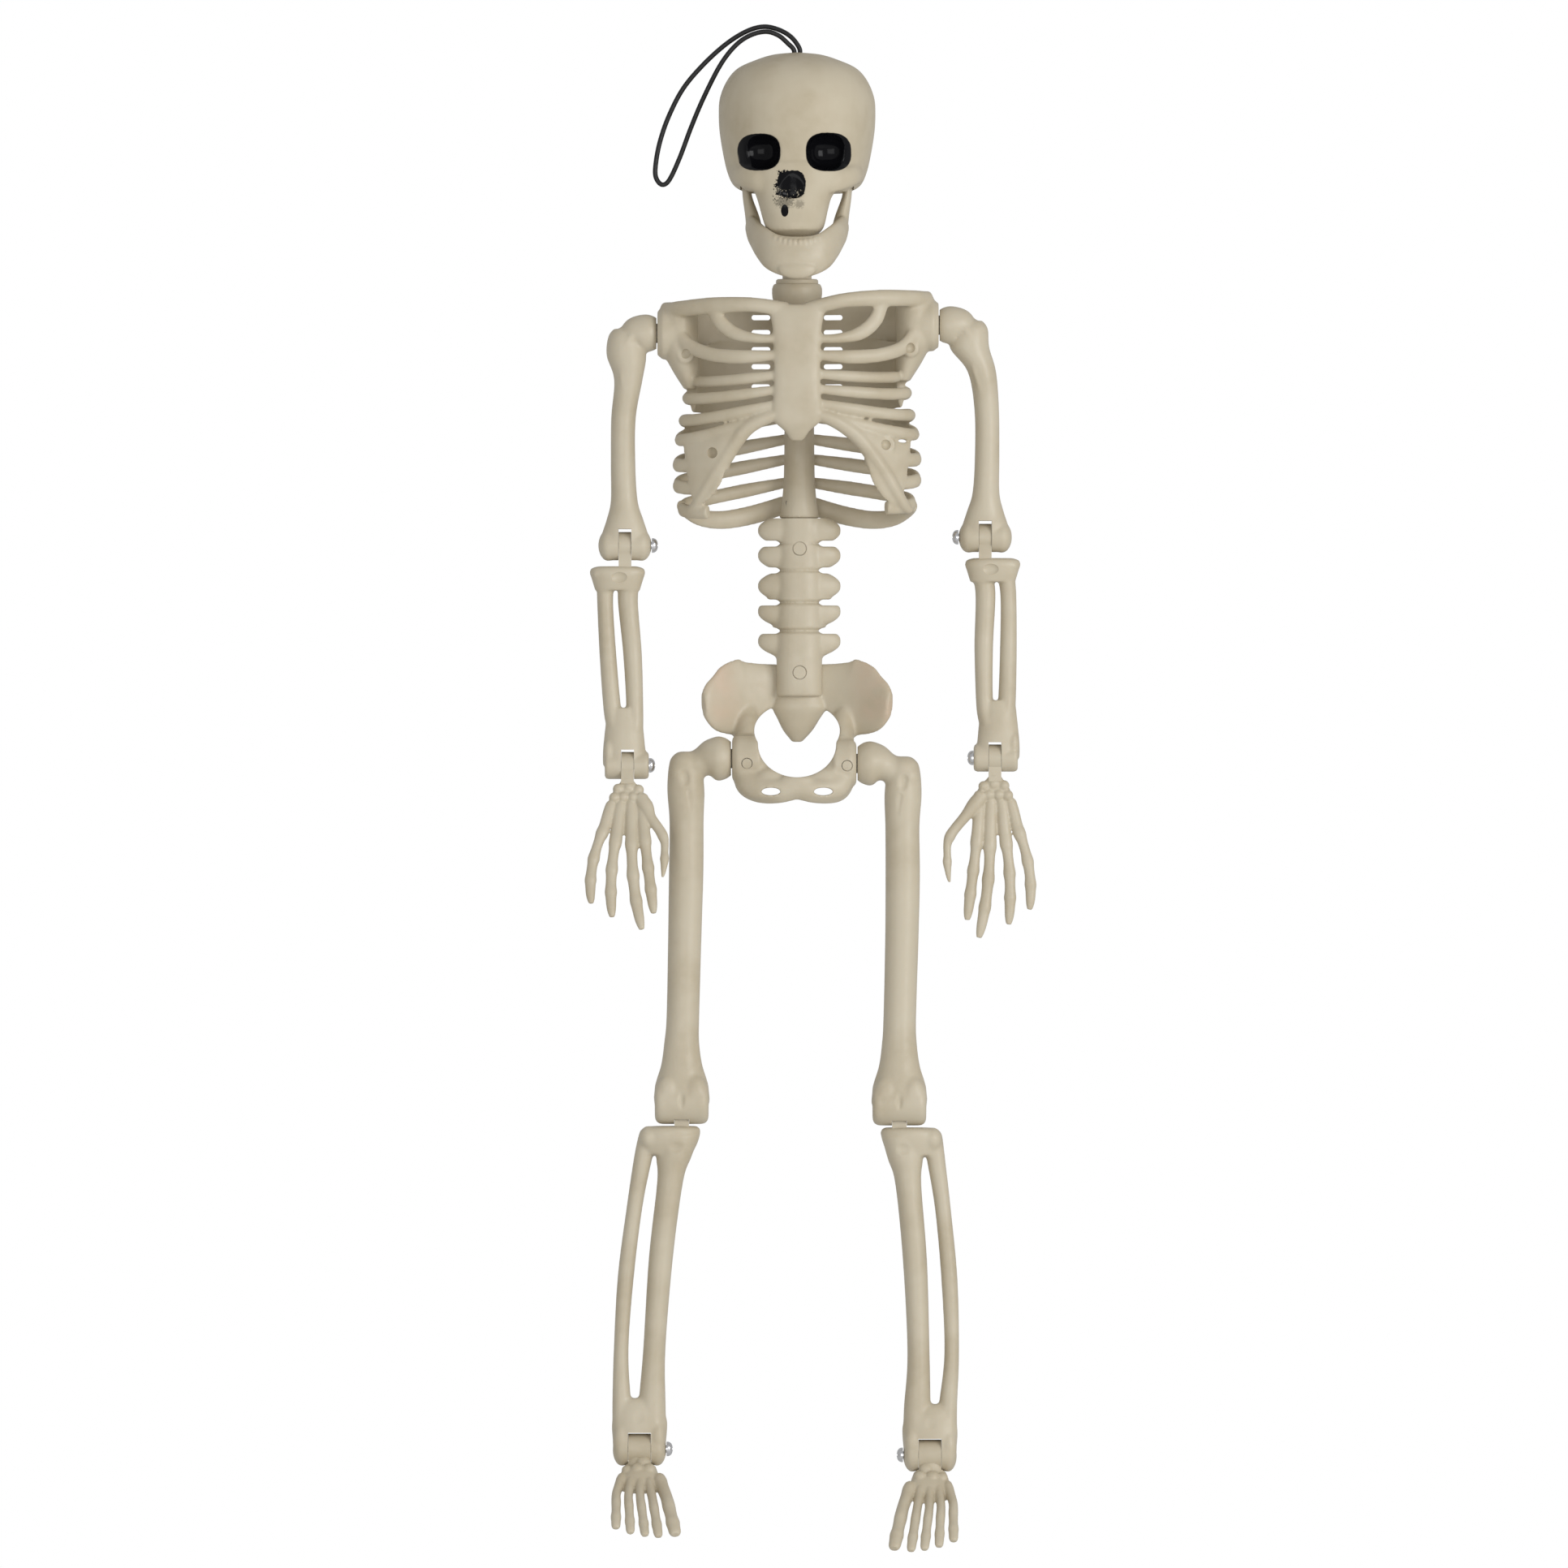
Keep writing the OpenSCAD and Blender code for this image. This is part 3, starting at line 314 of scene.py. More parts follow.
def skull_shapes():
    shapes = [cranium(),
              loft([(0, -13, -30, 13, 9), (0, -13.4, -33.6, 12.8, 9), (-0.4, -14, -36.6, 11.6, 8.8),
                    (-0.8, -14.2, -39, 10.1, 8.6), (-0.8, -14.2, -42.4, 9.1, 8.3), (-0.7, -14, -46, 8.2, 7.4),
                    (-0.6, -13.6, -48, 7.3, 6.8), (-0.6, -12.4, -49.6, 5.4, 4.8)], sides=40, square=0.88),
              loft([(0, SEAM_Y, -35, 9, 9), (0, SEAM_Y, -39, 8.4, 8.4), (0, SEAM_Y, -41.6, 7.4, 7.4)])]
    for s in (-1, 1):
        # Cheekbone and its arch back to the temple
        shapes.append(bar(flip(s, [(17.6, 3, -31, 0.7, 0.8), (17, -5, -32.4, 1.2, 2.2),
                                   (15, -13.4, -33.4, 1.6, 2.8), (11.4, -17.6, -34.6, 1.7, 3),
                                   (8, -19.4, -36.4, 1.3, 2.2)])))
    f = FACE_X
    shapes.append(bar([(f - 4.6, -19.8, -40.4, 1, 1), (f, -21.9, -40.6, 1.3, 1),
                       (f + 4.6, -19.8, -40.4, 1, 1)]))
    for k in range(10):
        # Upper teeth
        a = math.radians(-58 + 116 * k / 9)
        x, y = -0.6 + 7.3 * math.sin(a), -13.7 - 7.1 * math.cos(a)
        shapes.append(ellipsoid((x, y, -47.2), (0.8, 0.65, 1.3), (0, 0, math.degrees(a) * 0.8), sides=12))
    return shapes


def eye_socket(s):
    """A deep socket, squarish in front and rounded inside."""
    x, z, w, h = EYES[s]
    rows = [(-26, 1.05), (-21.6, 1.02), (-20.4, 0.98), (-19, 0.92), (-17.6, 0.82), (-16.4, 0.68),
            (-15.5, 0.5), (-15, 0.3), (-14.8, 0.1)]
    c, d = circle(48, 0.84)
    rings = [loop_at(x + w * share * c, y, z + h * share * d) for y, share in spline(rows, 3)]
    return closed_rings(rings[::-1])


def nose_dent():
    x = FACE_X - 0.5
    return loft([(x, -23.4, -32.8, 1.4, 1), (x, -23.4, -34.4, 2.8, 1.3), (x, -23.2, -37, 3.4, 1.6),
                 (x, -22.8, -38.9, 3.1, 1.5), (x, -22.6, -39.7, 1.6, 0.9)], sides=28)


def skull(front):
    name = "skull_front_shell" if front else "skull_back_shell"
    piece = fused(name, skull_shapes(), 0.5, 5)
    carve(piece, [eye_socket(-1), eye_socket(1), nose_dent()])
    fuse(piece, 0.42, 3)
    far = 60
    seam = 0.03
    carve(piece, [skull_cavity()] + [block(s * 11.7, s * 15.2, -8.4, 2.6, -60, -30.4) for s in (-1, 1)])
    y0, y1 = (-far, SEAM_Y - seam) if front else (SEAM_Y, far)
    keep = block(-far, far, y0, y1, -far, far)
    carve(piece, [keep], "INTERSECT")
    carve(piece, [upright((0, SEAM_Y), 3 + GAP, -50, -36.5), upright((0, SEAM_Y), 5, -39.4, -35.4)])
    if front:
        carve(piece, [upright((0, 0), 1.6, -6, 2, 32)])
        carve(piece, [axle(JAW, s * 9.6, s * 24, PIN_R - 0.05) for s in (-1, 1)])
    return shade(piece)


def jaw():
    half = [(12.4, -5.6, -46.4, 1.5, 2.9), (11.4, -9.4, -48.4, 1.9, 3.8), (9.6, -14.6, -51, 1.9, 4.4),
            (6, -19, -54.1, 2.2, 5)]
    line = [(-x, y, z, a, b) for x, y, z, a, b in half] + [(0, -20.4, -55.4, 2.4, 5.6)] + half[::-1]
    shapes = [bar(line, sides=28)]
    for s in (-1, 1):
        shapes += [loft(flip(s, [(13.4, -3, -33, 1.3, 2.4), (13.4, -3.2, -38, 1.25, 2.6),
                                 (12, -4.2, -44, 1.9, 3), (11.2, -6, -48.6, 2.3, 3.4)])),
                   axle(JAW, s * 12, s * 14.8, 3)]
    # Chin, and the lower teeth in a row along the gum
    shapes.append(ellipsoid((0, -21.2, -58.3), (5.2, 1.8, 2.9), (-12, 0, 0)))
    for k in range(10):
        x = -5.9 + 11.8 * k / 9
        shapes.append(ellipsoid((x, -21.9 + 0.05 * x * x, -51.7 + 0.03 * x * x), (0.68, 0.8, 1.3),
                                sides=12))
    piece = fused("jaw_bone", shapes, 0.3, 3)
    carve(piece, [axle(JAW, s * 11, s * 16, PIN_R + GAP) for s in (-1, 1)])
    return shade(piece)


def jaw_pins():
    piece = new_object("jaw_pin_pair", [axle(JAW, s * 10, s * 17.4, PIN_R, edge=0.15) for s in (-1, 1)])
    return shade(piece)


# ---- Torso ----

def neck():
    profile = [(0.1, -36.8), (4.2, -36.8), (4.4, -37), (4.4, -38.6), (4.2, -38.8), (3, -38.9), (3, -41.9),
               (3.75, -42), (3.9, -42.2), (3.9, -60.5), (5.3, -60.6), (5.6, -60.9), (5.7, -61.5),
               (5.62, -61.75), (6.2, -62), (6.5, -62.5), (6.7, -63.2), (6.72, -64.4), (6.6, -65.6),
               (6.25, -66.8), (5.6, -68), (4.6, -69.2), (3.2, -70), (3, -70.4), (3, -77), (0.1, -77)]
    piece = new_object("neck_collar", [turned((0, SEAM_Y), profile)])
    return shade(piece)


SHOULDER = {side: pivot("shoulder_" + side) for side in SIDES}
HIP = {side: pivot("hip_" + side) for side in SIDES}
RIB_TILT = 0.024
PLATE_D = 16.4
RIB_TIPS = [(30, -91.8), (31, -97.8), (32, -103.2), (32.5, -109.6), (32.4, -115), (31, -121.2)]
# x, z, reach
PEGS = [(-29.8, -81.0, 7.0), (30.4, -79.4, 7.0), (-22.6, -107.4, 11.4), (23.9, -105.2, 11.4)]


def clavicle_z(x):
    return -67.4 + 0.045 * x


def rib(s, half_w, depth, z0, z1, sag, start, end, thick, tall, root=1.0):
    """A rib from the middle round to the side, rounded off at its tip."""
    rows = []
    for t in np.linspace(0, 1, 12):
        a = math.radians(start + (end - start) * t)
        x = s * half_w * math.sin(a) / math.sin(math.radians(end))
        thin = 0.35 if t > 0.99 else 0.85 if t > 0.9 else 1 - max(0, 1 - t * 4) * (1 - root)
        rows.append((x, depth * math.cos(a), z0 + (z1 - z0) * t - sag * math.sin(math.pi * t) + RIB_TILT * x,
                     thick * max(thin, 0.6), tall * thin))
    return bar(rows, steps=3)


def shoulder_shapes(side):
    """The rounded corner of the chest, with a round face for the arm."""
    s = SIDES[side]
    x, _, z = SHOULDER[side]
    return [loft(flip(s, [(31.6, 0, clavicle_z(s * 33) + 2, 4, 2.4), (31.6, 0, z + 7, 5, 5.6),
                          (31.6, 0, z + 2, 5.2, 7), (31.4, 0, z - 4, 4.8, 7), (30, 0, z - 9.6, 3.6, 6),
                          (28.4, 0, z - 15, 1.8, 4)]), sides=40),
            axle((0, 0, z), s * 30.4, s * (abs(x) - 0.9), 7, edge=0.6),
            axle((0, 0, z), s * 31.4, x, 6.2, edge=0.4)]


def drum_cuts(at, s, inner, flange_back, peg=2.6, flange=3.9):
    """The bore for a peg and the pocket that holds its flange."""
    x = abs(at[0])
    return [axle(at, s * inner, s * (x + 3), peg + GAP),
            axle(at, s * inner, s * (x - flange_back), flange + 0.15)]


def peg_marks(piece):
    """Small round dents where pegs hold the halves together."""
    carve(piece, [ellipsoid((x, -reach - 1.2, z), (1.5, 1.9, 1.5), sides=32) for x, z, reach in PEGS])


def ring_groove(at, y, radius, width, depth=0.35):
    """A ring to cut into a face that looks along Y, at (x, z)."""
    sides = 40
    points, faces = [], []
    for i in range(sides):
        a = 2 * math.pi * i / sides
        for r, dy in ((radius - width, -depth), (radius + width, -depth), (radius + width, depth),
                      (radius - width, depth)):
            points.append((at[0] + r * math.cos(a), y + dy, at[1] + r * math.sin(a)))
    for i in range(sides):
        j = (i + 1) % sides
        for k in range(4):
            m = (k + 1) % 4
            faces.append((i * 4 + k, i * 4 + m, j * 4 + m, j * 4 + k))
    return np.array(points), faces


def front_ribs(side):
    s = SIDES[side]
    z = SHOULDER[side][2]
    shapes = shoulder_shapes(side)
    shapes += [bar(flip(s, [(3, -15.4, -69.2, 1.6, 2.1), (12, -15.6, clavicle_z(s * 12), 1.6, 2),
                            (22, -12.6, clavicle_z(s * 22) + 0.3, 1.7, 2.3),
                            (31, -6.4, clavicle_z(s * 31), 2, 2.2),
                            (34.8, -1, clavicle_z(s * 34.8) - 0.4, 2, 2.3)])),
               bar(flip(s, [(4, -16.4, -77, 1.3, 1.1), (11, -15.6, -76.9, 1.3, 1.35),
                            (17, -14, -75.4, 1.3, 1.9), (21, -12.8, -71.8, 1.3, 2),
                            (22.6, -12, -67.4, 1.4, 2)])),
               bar(flip(s, [(4, -16.4, -81.3, 1.3, 1.2), (14, -15.4, -81.8, 1.3, 1.9),
                            (22.4, -12, -81.2, 1.3, 1.9), (29, -7.6, -78.6, 1.4, 2),
                            (33.4, -4, z + 1, 1.6, 2.4)])),
               rib(s, 27.4, -16.6, -86.4, -87.4, 0.8, 8, 84, 1.3, 1.6, 0.75),
               rib(s, 30, -16.6, -90.5, -91.8, 1, 10, 86, 1.3, 1.65, 0.75),
               rib(s, 31, -16.6, -94.3, -97.8, 1.4, 10, 87, 1.3, 1.65, 0.75),
               rib(s, 32, -16, -98, -103.2, 1.6, 14, 88, 1.3, 1.7),
               bar([(s * 2.6, -15.8, -96.4, 1.5, 1.9), (s * 8, -15.6, -98, 1.8, 2),
                    (s * 13, -14.6, -100.6, 2, 2.1), (s * 17 + 0.5, -13.4, -104.6, 2.1, 2.2),
                    (s * 22 + 0.8, -11.2, -112, 2.1, 2.2), (s * 26 + 0.8, -9, -118.6, 1.8, 2),
                    (s * 28 + 0.8, -7.2, -121.6, 1.5, 1.7),
                    (s * 29.6 + 0.6, -5.6, -122.8, 1, 1.3)], ref=(0, 1, 0)),
               bar(flip(s, [(12, -14.7, -100.6, 1.4, 1.4), (18, -13.4, -103.6, 1.4, 2.8),
                            (21.5, -11.9, -106.8, 1.4, 4.8), (24.8, -10, -110.4, 1.3, 7.6),
                            (27.4, -8.2, -112.4, 1.2, 9), (28.8, -6.8, -113, 1.1, 9)]), sides=32),
               ellipsoid((s * 4.6, -15.7, -95.4), (2.6, 1.5, 2.2), sides=24)]
    for k in range(3, 6):
        shapes.append(rib(s, RIB_TIPS[k][0], -14.6, -109.6 - 6.5 * (k - 3), RIB_TIPS[k][1], 0.4,
                          34 + 8 * (k - 3), 88, 1.3, 1.9))
    return shapes


def ribcage_front():
    shapes = [loft([(0, -15, -67.8, 8.4, 1.6), (0, -15.6, -70, 7.4, 2), (0, -16.4, -76, 6.5, 2),
                    (0, -16.8, -90, 6.2, 2), (0, -16.4, -98, 6.6, 2), (0, -15.8, -101.6, 3.4, 1.6),
                    (0, -15.4, -103.4, 2.2, 1.2), (0, -15.2, -104.2, 1.4, 0.8)], sides=36, square=0.8)]
    for side in SIDES:
        shapes += front_ribs(side)
    for x, z, reach in PEGS:
        shapes.append(through((x, z), 2.3, -reach, 0.6))
    piece = fused("ribcage_front_half", shapes, 0.42, 4)
    peg_marks(piece)
    carve(piece, [block(-60, 60, -40, -0.03, -140, -50)], "INTERSECT")
    for side, s in SIDES.items():
        carve(piece, drum_cuts(SHOULDER[side], s, 31, 2.6))
    carve(piece, [through(p[:2], 1.15, -5, 2) for p in PEGS] + [upright((0, SEAM_Y), 3, -90, -60)])
    return shade(piece)


def back_plate(half_w, height, tall, taper):
    rows = []
    for a in np.radians(np.linspace(-84, 84, 23)):
        x = half_w * math.sin(a)
        rows.append((x, PLATE_D * math.cos(a), height(x, a), 1.35, tall - taper * abs(math.sin(a))))
    return bar(rows, sides=32, steps=3)


def ribcage_back():
    shapes = [back_plate(33.4, lambda x, a: clavicle_z(x) - 5 - 1.2 * math.cos(a), 7.2, 0),
              back_plate(28, lambda x, a: -86.8 + RIB_TILT * x, 12.2, 3.2),
              loft([(0.4, 12, -65.6, 4, 4), (0.5, 12.6, -80, 4, 4.6), (0.6, 12.6, -100, 4, 4.8),
                    (0.6, 12, -114, 4.2, 5.2), (0.6, 11, -121, 4.8, 5.4), (0.6, 10.6, -124.6, 5.4, 5.2)])]
    for side, s in SIDES.items():
        shapes += shoulder_shapes(side)
        # Shoulder blade, standing off the plate
        z = SHOULDER[side][2]
        shapes += [bar(flip(s, [(32, 6, z + 3, 1.2, 2), (25, 13.4, z + 1, 1.4, 2.2),
                                (15, 16.4, z - 3, 1, 1.4), (10.6, 17, z - 6, 0.7, 0.9)])),
                   bar(flip(s, [(27, 11.6, z, 1.4, 2.6), (21, 14.6, z - 8, 1.3, 5.6),
                                (17.6, 15.6, z - 15, 1.1, 3.4),
                                (16.6, 15.6, z - 20, 0.8, 1.2)]), ref=(1, 0, 0))]
        for k in range(6):
            width, tip = RIB_TIPS[k]
            shapes.append(rib(s, width, PLATE_D, tip + (1 if k < 2 else 6.5), tip, 0.4,
                              4, 88, 1.36, 1.9, 1 if k < 3 else 0.75))
        shapes.append(bar(flip(s, [(3, 16.2, -120.8, 1.36, 2.5), (12, 15.2, -123.6, 1.36, 2.6),
                                   (20, 12.6, -125, 1.36, 2.5), (26, 9.2, -124.4, 1.36, 2.3),
                                   (30, 5, -122.4, 1.36, 1.9), (31, 0.4, -121.3, 1.36, 1.6)])))
    for k in range(9):
        # Bumps of the backbone
        z = -69 - 6.4 * k
        shapes.append(ellipsoid((0, 16.4 if z > -112 else 15.4, z), (1.5, 1.9, 2.1), (18, 0, 0), sides=16))
    for x, z, reach in PEGS:
        shapes.append(through((x, z), 2.3, 0, reach))
    piece = fused("ribcage_back_half", shapes, 0.42, 4)
    carve(piece, [slot_cut(s, z) for s in (-1, 1) for z in (-70.6, -74.6, -79.2, -83.8, -89.2)])
    carve(piece, [block(-60, 60, 0, 40, -140, -50)], "INTERSECT")
    for side, s in SIDES.items():
        carve(piece, drum_cuts(SHOULDER[side], s, 31, 2.6))
    carve(piece, [upright((0, SEAM_Y), 3, -77.5, -60), block(-3, 3, 7.4, 12, -127, -120)])
    return shade(piece)


def slot_cut(s, z):
    """A narrow slot with round ends through the back plate."""
    c, d = circle(24)
    x = s * 9.7 + np.where(c > 0, 1.8, -1.8) + 0.72 * c
    return closed_rings([loop_at(x, y, z + 0.72 * d) for y in (20.0, 4.0)])


# ---- Waist and pelvis ----

SPINE_X = 0.6
PROCESS_Z = [-127.9, -134.6, -142.8, -149.6, -157.6]
CREASE_Z = [-131.4, -138.6, -147.2, -154.8]


def lumbar_spine():
    rows = [(-123, 5.4, 4.4), (-128, 6, 4.6), (-135, 6, 4.8), (-143, 6.1, 4.8), (-150, 6.1, 4.8),
            (-158, 6.2, 4.8), (-166, 6.1, 4.8), (-171, 6.1, 4.5), (-172.4, 6, 4.3)]
    shapes = [loft([(SPINE_X, 9.4 - 0.03 * abs(z + 126), z, w, d) for z, w, d in rows], square=0.9)]
    for z in PROCESS_Z:
        shapes.append(loft([(SPINE_X, 9, z + 4.3, 6.1, 2.4), (SPINE_X, 9, z + 3.5, 7.6, 2.9),
                            (SPINE_X, 9, z + 2.6, 9.4, 3.1), (SPINE_X, 9, z + 1.3, 10.9, 3.3),
                            (SPINE_X, 9, z, 11.2, 3.4), (SPINE_X, 9, z - 1.3, 10.9, 3.3),
                            (SPINE_X, 9, z - 2.6, 9.4, 3.1), (SPINE_X, 9, z - 3.5, 7.6, 2.9),
                            (SPINE_X, 9, z - 4.3, 6.1, 2.4)]))
        shapes.append(ellipsoid((SPINE_X, 12.6, z), (1.8, 1.7, 2.6), sides=20))
    piece = fused("lumbar_backbone", shapes, 0.4, 4)
    # Creases between the bones, and two round moulding marks
    carve(piece, [crease(z) for z in CREASE_Z])
    fuse(piece, 0.36, 2)
    carve(piece, [ring_groove((SPINE_X + 0.1, z), y, 1.8, 0.14, 0.45)
                  for z, y in ((-132.8, 4.5), (-166, 3.5))])
    carve(piece, [block(-40, 40, -20, 40, -180, -124.63)], "INTERSECT")
    join_shapes(piece, [block(-2.9, 2.9, 7.5, 11.9, -130, -120.2), block(-2.9, 2.9, 7.5, 10.9, -176, -170)])
    return shade(piece)


def crease(z):
    """A shallow groove round the backbone at height z."""
    c, s = circle(48)
    rings = [ring_at((SPINE_X, 8.4), 12, z + dz, 48) for dz in (0.8, -0.8)]
    for dz, share in ((-0.8, 1.02), (-0.2, 0.84), (0.2, 0.84), (0.8, 1.02)):
        rings.append(loop_at(SPINE_X + 6.1 * share * c, 8.6 - 4.8 * share * s, z + dz))
    return ring_stack(rings)


def ring_stack(rings):
    """A closed band whose section runs through the rings in turn and back to the first."""
    n = len(rings[0])
    faces = []
    for k in range(len(rings)):
        m = (k + 1) % len(rings)
        for i in range(n):
            j = (i + 1) % n
            faces.append((k * n + i, k * n + j, m * n + j, m * n + i))
    return np.concatenate(rings), faces


def pelvis_shapes():
    shapes = []
    for side, s in SIDES.items():
        at = HIP[side]
        h = abs(at[0])
        shapes += [axle(at, s * 9.6, s * (h - 0.8), 6.6, edge=0.7), axle(at, s * 9.6, s * h, 5.8, edge=0.4),
                   bar(flip(s, [(3, 11, -168.4, 1.8, 5), (8, 9.8, -170.4, 1.8, 7.6),
                                (13, 7.8, -172.6, 1.8, 10.9), (17, 5.4, -173.2, 1.7, 10.3),
                                (20.6, 2.8, -174.2, 1.6, 8.6), (23.6, 0.6, -174.6, 1.5, 6.1),
                                (25.1, -0.4, -174.8, 1.4, 3.4)]), sides=36),
                   bar(flip(s, [(13, 8.6, -172, 1.6, 1.4), (13.4, 7.6, -176.4, 2.6, 2.4),
                                (h - 3.9, 6.2, -180.4, 3.1, 3.8), (h - 3.7, 1.6, -188.4, 3.3, 4.8),
                                (h - 4.7, -4, -195.6, 3.5, 3), (6.8, -6.8, -197.4, 2.9, 2.3),
                                (0, -7.6, -196.8, 2.7, 2)]), ref=(0, 1, 0), sides=28),
                   bar(flip(s, [(h - 3.6, 0.6, -191, 3, 3.8), (h - 3.6, -1, -196, 2.8, 3),
                                (10.4, -3.6, -198.9, 2, 2.4), (5, -6.2, -199.4, 1.7, 1.8),
                                (0, -7.2, -198.2, 1.8, 1.6)]), ref=(0, 1, 0), sides=28)]
        # The corners below the opening
        shapes += [ellipsoid((s * 7.2, -4.8, -194.4), (4.4, 2.8, 3), sides=24),
                   ellipsoid((s * 10.6, -2.8, -190.8), (3, 3, 4), sides=24)]
    shapes.append(ellipsoid((0, -7.2, -195.3), (5, 2.4, 2.5), sides=24))      # the middle of its lower edge
    return shapes


def sacrum():
    return loft([(SPINE_X, 9.8, -170, 5.6, 3.4), (SPINE_X, 9.6, -173.4, 6.6, 3.6),
                 (SPINE_X, 9.6, -175.6, 7.2, 3.7), (0.4, 10, -178.6, 5.6, 3.2), (0.2, 10.4, -181.6, 3.9, 2.6),
                 (0, 10.8, -184.6, 1.3, 1.4)], sides=40)


WING_Z = -182.9


def pelvis(front):
    piece = fused("pelvis_front_half" if front else "pelvis_back_half", pelvis_shapes(), 0.42, 7)
    # The egg-shaped opening, the two small holes below it, and room for the heads of the thighs
    carve(piece, [oval_bar((0, -181.6), 11.5, 7.6, -30, 30), oval_bar((0, -185.2), 10.5, 8.9, -30, 30)] +
          [oval_bar((s * 7, -197.9), 2.6, 1, -20, 0) for s in (-1, 1)] +
          [axle(HIP[side], s * (abs(HIP[side][0]) + 0.1), s * (abs(HIP[side][0]) + 14), 6.2)
           for side, s in SIDES.items()])
    join_shapes(piece, [sacrum()])
    fuse(piece, 0.38, 3)
    far = 60
    if front:
        carve(piece, [ring_groove((s * 13.4, z), -6.2, 1.4, 0.12, 0.4) for s, z in ((-1, -190.4), (1, -191))])
        carve(piece, [block(-far, far, -40, -0.03, -220, WING_Z - 0.03)], "INTERSECT")
    else:
        carve(piece, [block(-far, far, -40, 0, -220, WING_Z)])
    for side, s in SIDES.items():
        carve(piece, drum_cuts(HIP[side], s, 10.8, 2.4))
    carve(piece, [block(-3, 3, 7.4, 11, -176.2, -168)])
    return shade(piece)


# ---- Arms ----

ELBOW = {side: pivot("elbow_" + side) for side in SIDES}
WRIST = {side: pivot("wrist_" + side) for side in SIDES}
SIDE_GAP = 0.08
BORE_R = PIN_R + GAP
PILOT_R = PIN_R - 0.05
ELBOW_EAR, WRIST_EAR, ANKLE_EAR = 7.15, 5.7, 7.2      # half the width of each fork
ARM_SLOT, KNEE_SLOT, ANKLE_SLOT = 1.75, 2, 3.1        # and of its slot


def peg_shapes(at, s, length):
    """The peg that snaps into a body, with the flange that traps it."""
    x = abs(at[0])
    return [axle(at, s * (x - length), s * (x + 3), 2.6),
            axle(at, s * (x - length), s * (x - length + 1.4), 3.9)]


def fork_cuts(at, s, slot, depth, top, ear):
    """The slot of a fork, its bore at the screw's side and its pilot hole at the other."""
    x, _, z = at
    return [block(x - slot, x + slot, -10, 10, z - depth, z + top), axle(at, x - s * (ear + 3), x, BORE_R),
            axle(at, x, x + s * (ear - 1), PILOT_R)]


def humerus(side):
    s = SIDES[side]
    x, _, z = ELBOW[side]
    x = abs(x)
    top = SHOULDER[side][2]
    face = abs(SHOULDER[side][0]) + 0.3
    fork = ELBOW_EAR
    mid = along(top, z)
    shapes = [bar(flip(s, [(face - 0.4, 0, top, 3.9, 3.9), (face + 1, 0, top, 4.7, 4.7),
                           (face + 3, 0, top, 5.1, 5.1), (face + 5.2, 0, top - 0.2, 4.7, 4.8),
                           (face + 7.2, 0, top - 1.4, 3.9, 4.2), (face + 10, 0, top - 2.8, 3.6, 3.9)]),
                  ref=(0, 1, 0), sides=32),
              loft(flip(s, [(face + 9, 0, top + 1.2, 2.4, 2.2), (face + 8.4, 0, top - 1, 4.5, 4.3),
                            (face + 8, 0, top - 6, 5.3, 4.7), (x - 0.9, 0, mid(0.22), 3.8, 4),
                            (x + 0.4, 0, mid(0.4), 3.3, 3.5), (x + 0.5, 0, mid(0.62), 3.3, 3.5),
                            (x + 0.2, 0, z + 12, 3.6, 3.6), (x, 0, z + 7, 4.9, 4),
                            (x, 0, z + 3, fork - 1, 4.1), (x, 0, z, fork - 1, 4.1)]), sides=40),
              axle((0, 0, z), s * (x - fork + 1.2), s * (x + fork - 1.2), 4, edge=1.4),
              *[ellipsoid((s * (x + out), 0, z), (2.75, 4, 4.2), sides=32) for out in (-4.4, 4.4)],
              # Ridge down the front, and the bump of the shoulder
              bar(flip(s, [(face + 5, -3.4, top + 0.6, 0.9, 1), (face + 8, -3.8, top - 3, 1, 1.1),
                           (face + 9, -3.2, top - 10, 0.8, 1), (x - 0.4, -2.9, mid(0.36), 0.5, 0.6)]),
                  ref=(1, 0, 0))]
    piece = fused("humerus_bone_" + side, shapes, 0.4, 4)
    carve(piece, [block(0, s * face, -20, 20, top - 20, top + 20)])
    carve(piece, fork_cuts(ELBOW[side], s, ARM_SLOT, 8, 4.4, fork))
    join_shapes(piece, peg_shapes(SHOULDER[side], s, 4.6))
    return shade(piece)


def pivot_screw(name, side, at, ear, length):
    """A pan-head screw with a cross recess, its head against the inner ear of a fork."""
    s = SIDES[side]
    x, head = abs(at[0]), 1.95
    seat = x - ear - 0.05
    rows = [(seat, head), (seat - 0.25, head), (seat - 0.6, head * 0.98), (seat - 0.95, head * 0.9),
            (seat - 1.25, head * 0.76), (seat - 1.5, head * 0.54), (seat - 1.65, head * 0.22)]
    shank = [(x - ear + length, PIN_R * 0.3), (x - ear + length - 0.8, PIN_R * 0.96)]
    turns = int((length - 1.4) / 0.7)
    for k in range(turns):
        v = x - ear + length - 1.0 - 0.7 * k
        if v > x + 1.9:
            shank += [(v, PIN_R * 0.99), (v - 0.3, PIN_R * 0.82), (v - 0.4, PIN_R * 0.82)]
    shank += [(x + 1.5, PIN_R * 0.99), (seat - 0.1, PIN_R * 0.99)]
    c, d = circle(48)
    thread, cap = [closed_rings([loop_at(s * v, r * c, at[2] - r * d)
                                 for v, r in (stack if s > 0 else stack[::-1])])
                   for stack in (shank, rows)]
    piece = new_object(name, [thread])
    join_shapes(piece, [cap])
    carve(piece, [block(s * (seat - 0.9), s * (seat - 2.4), -a, a, at[2] - b, at[2] + b)
                  for a, b in ((1.1, 0.24), (0.24, 1.1))])
    return shade(piece, 30)


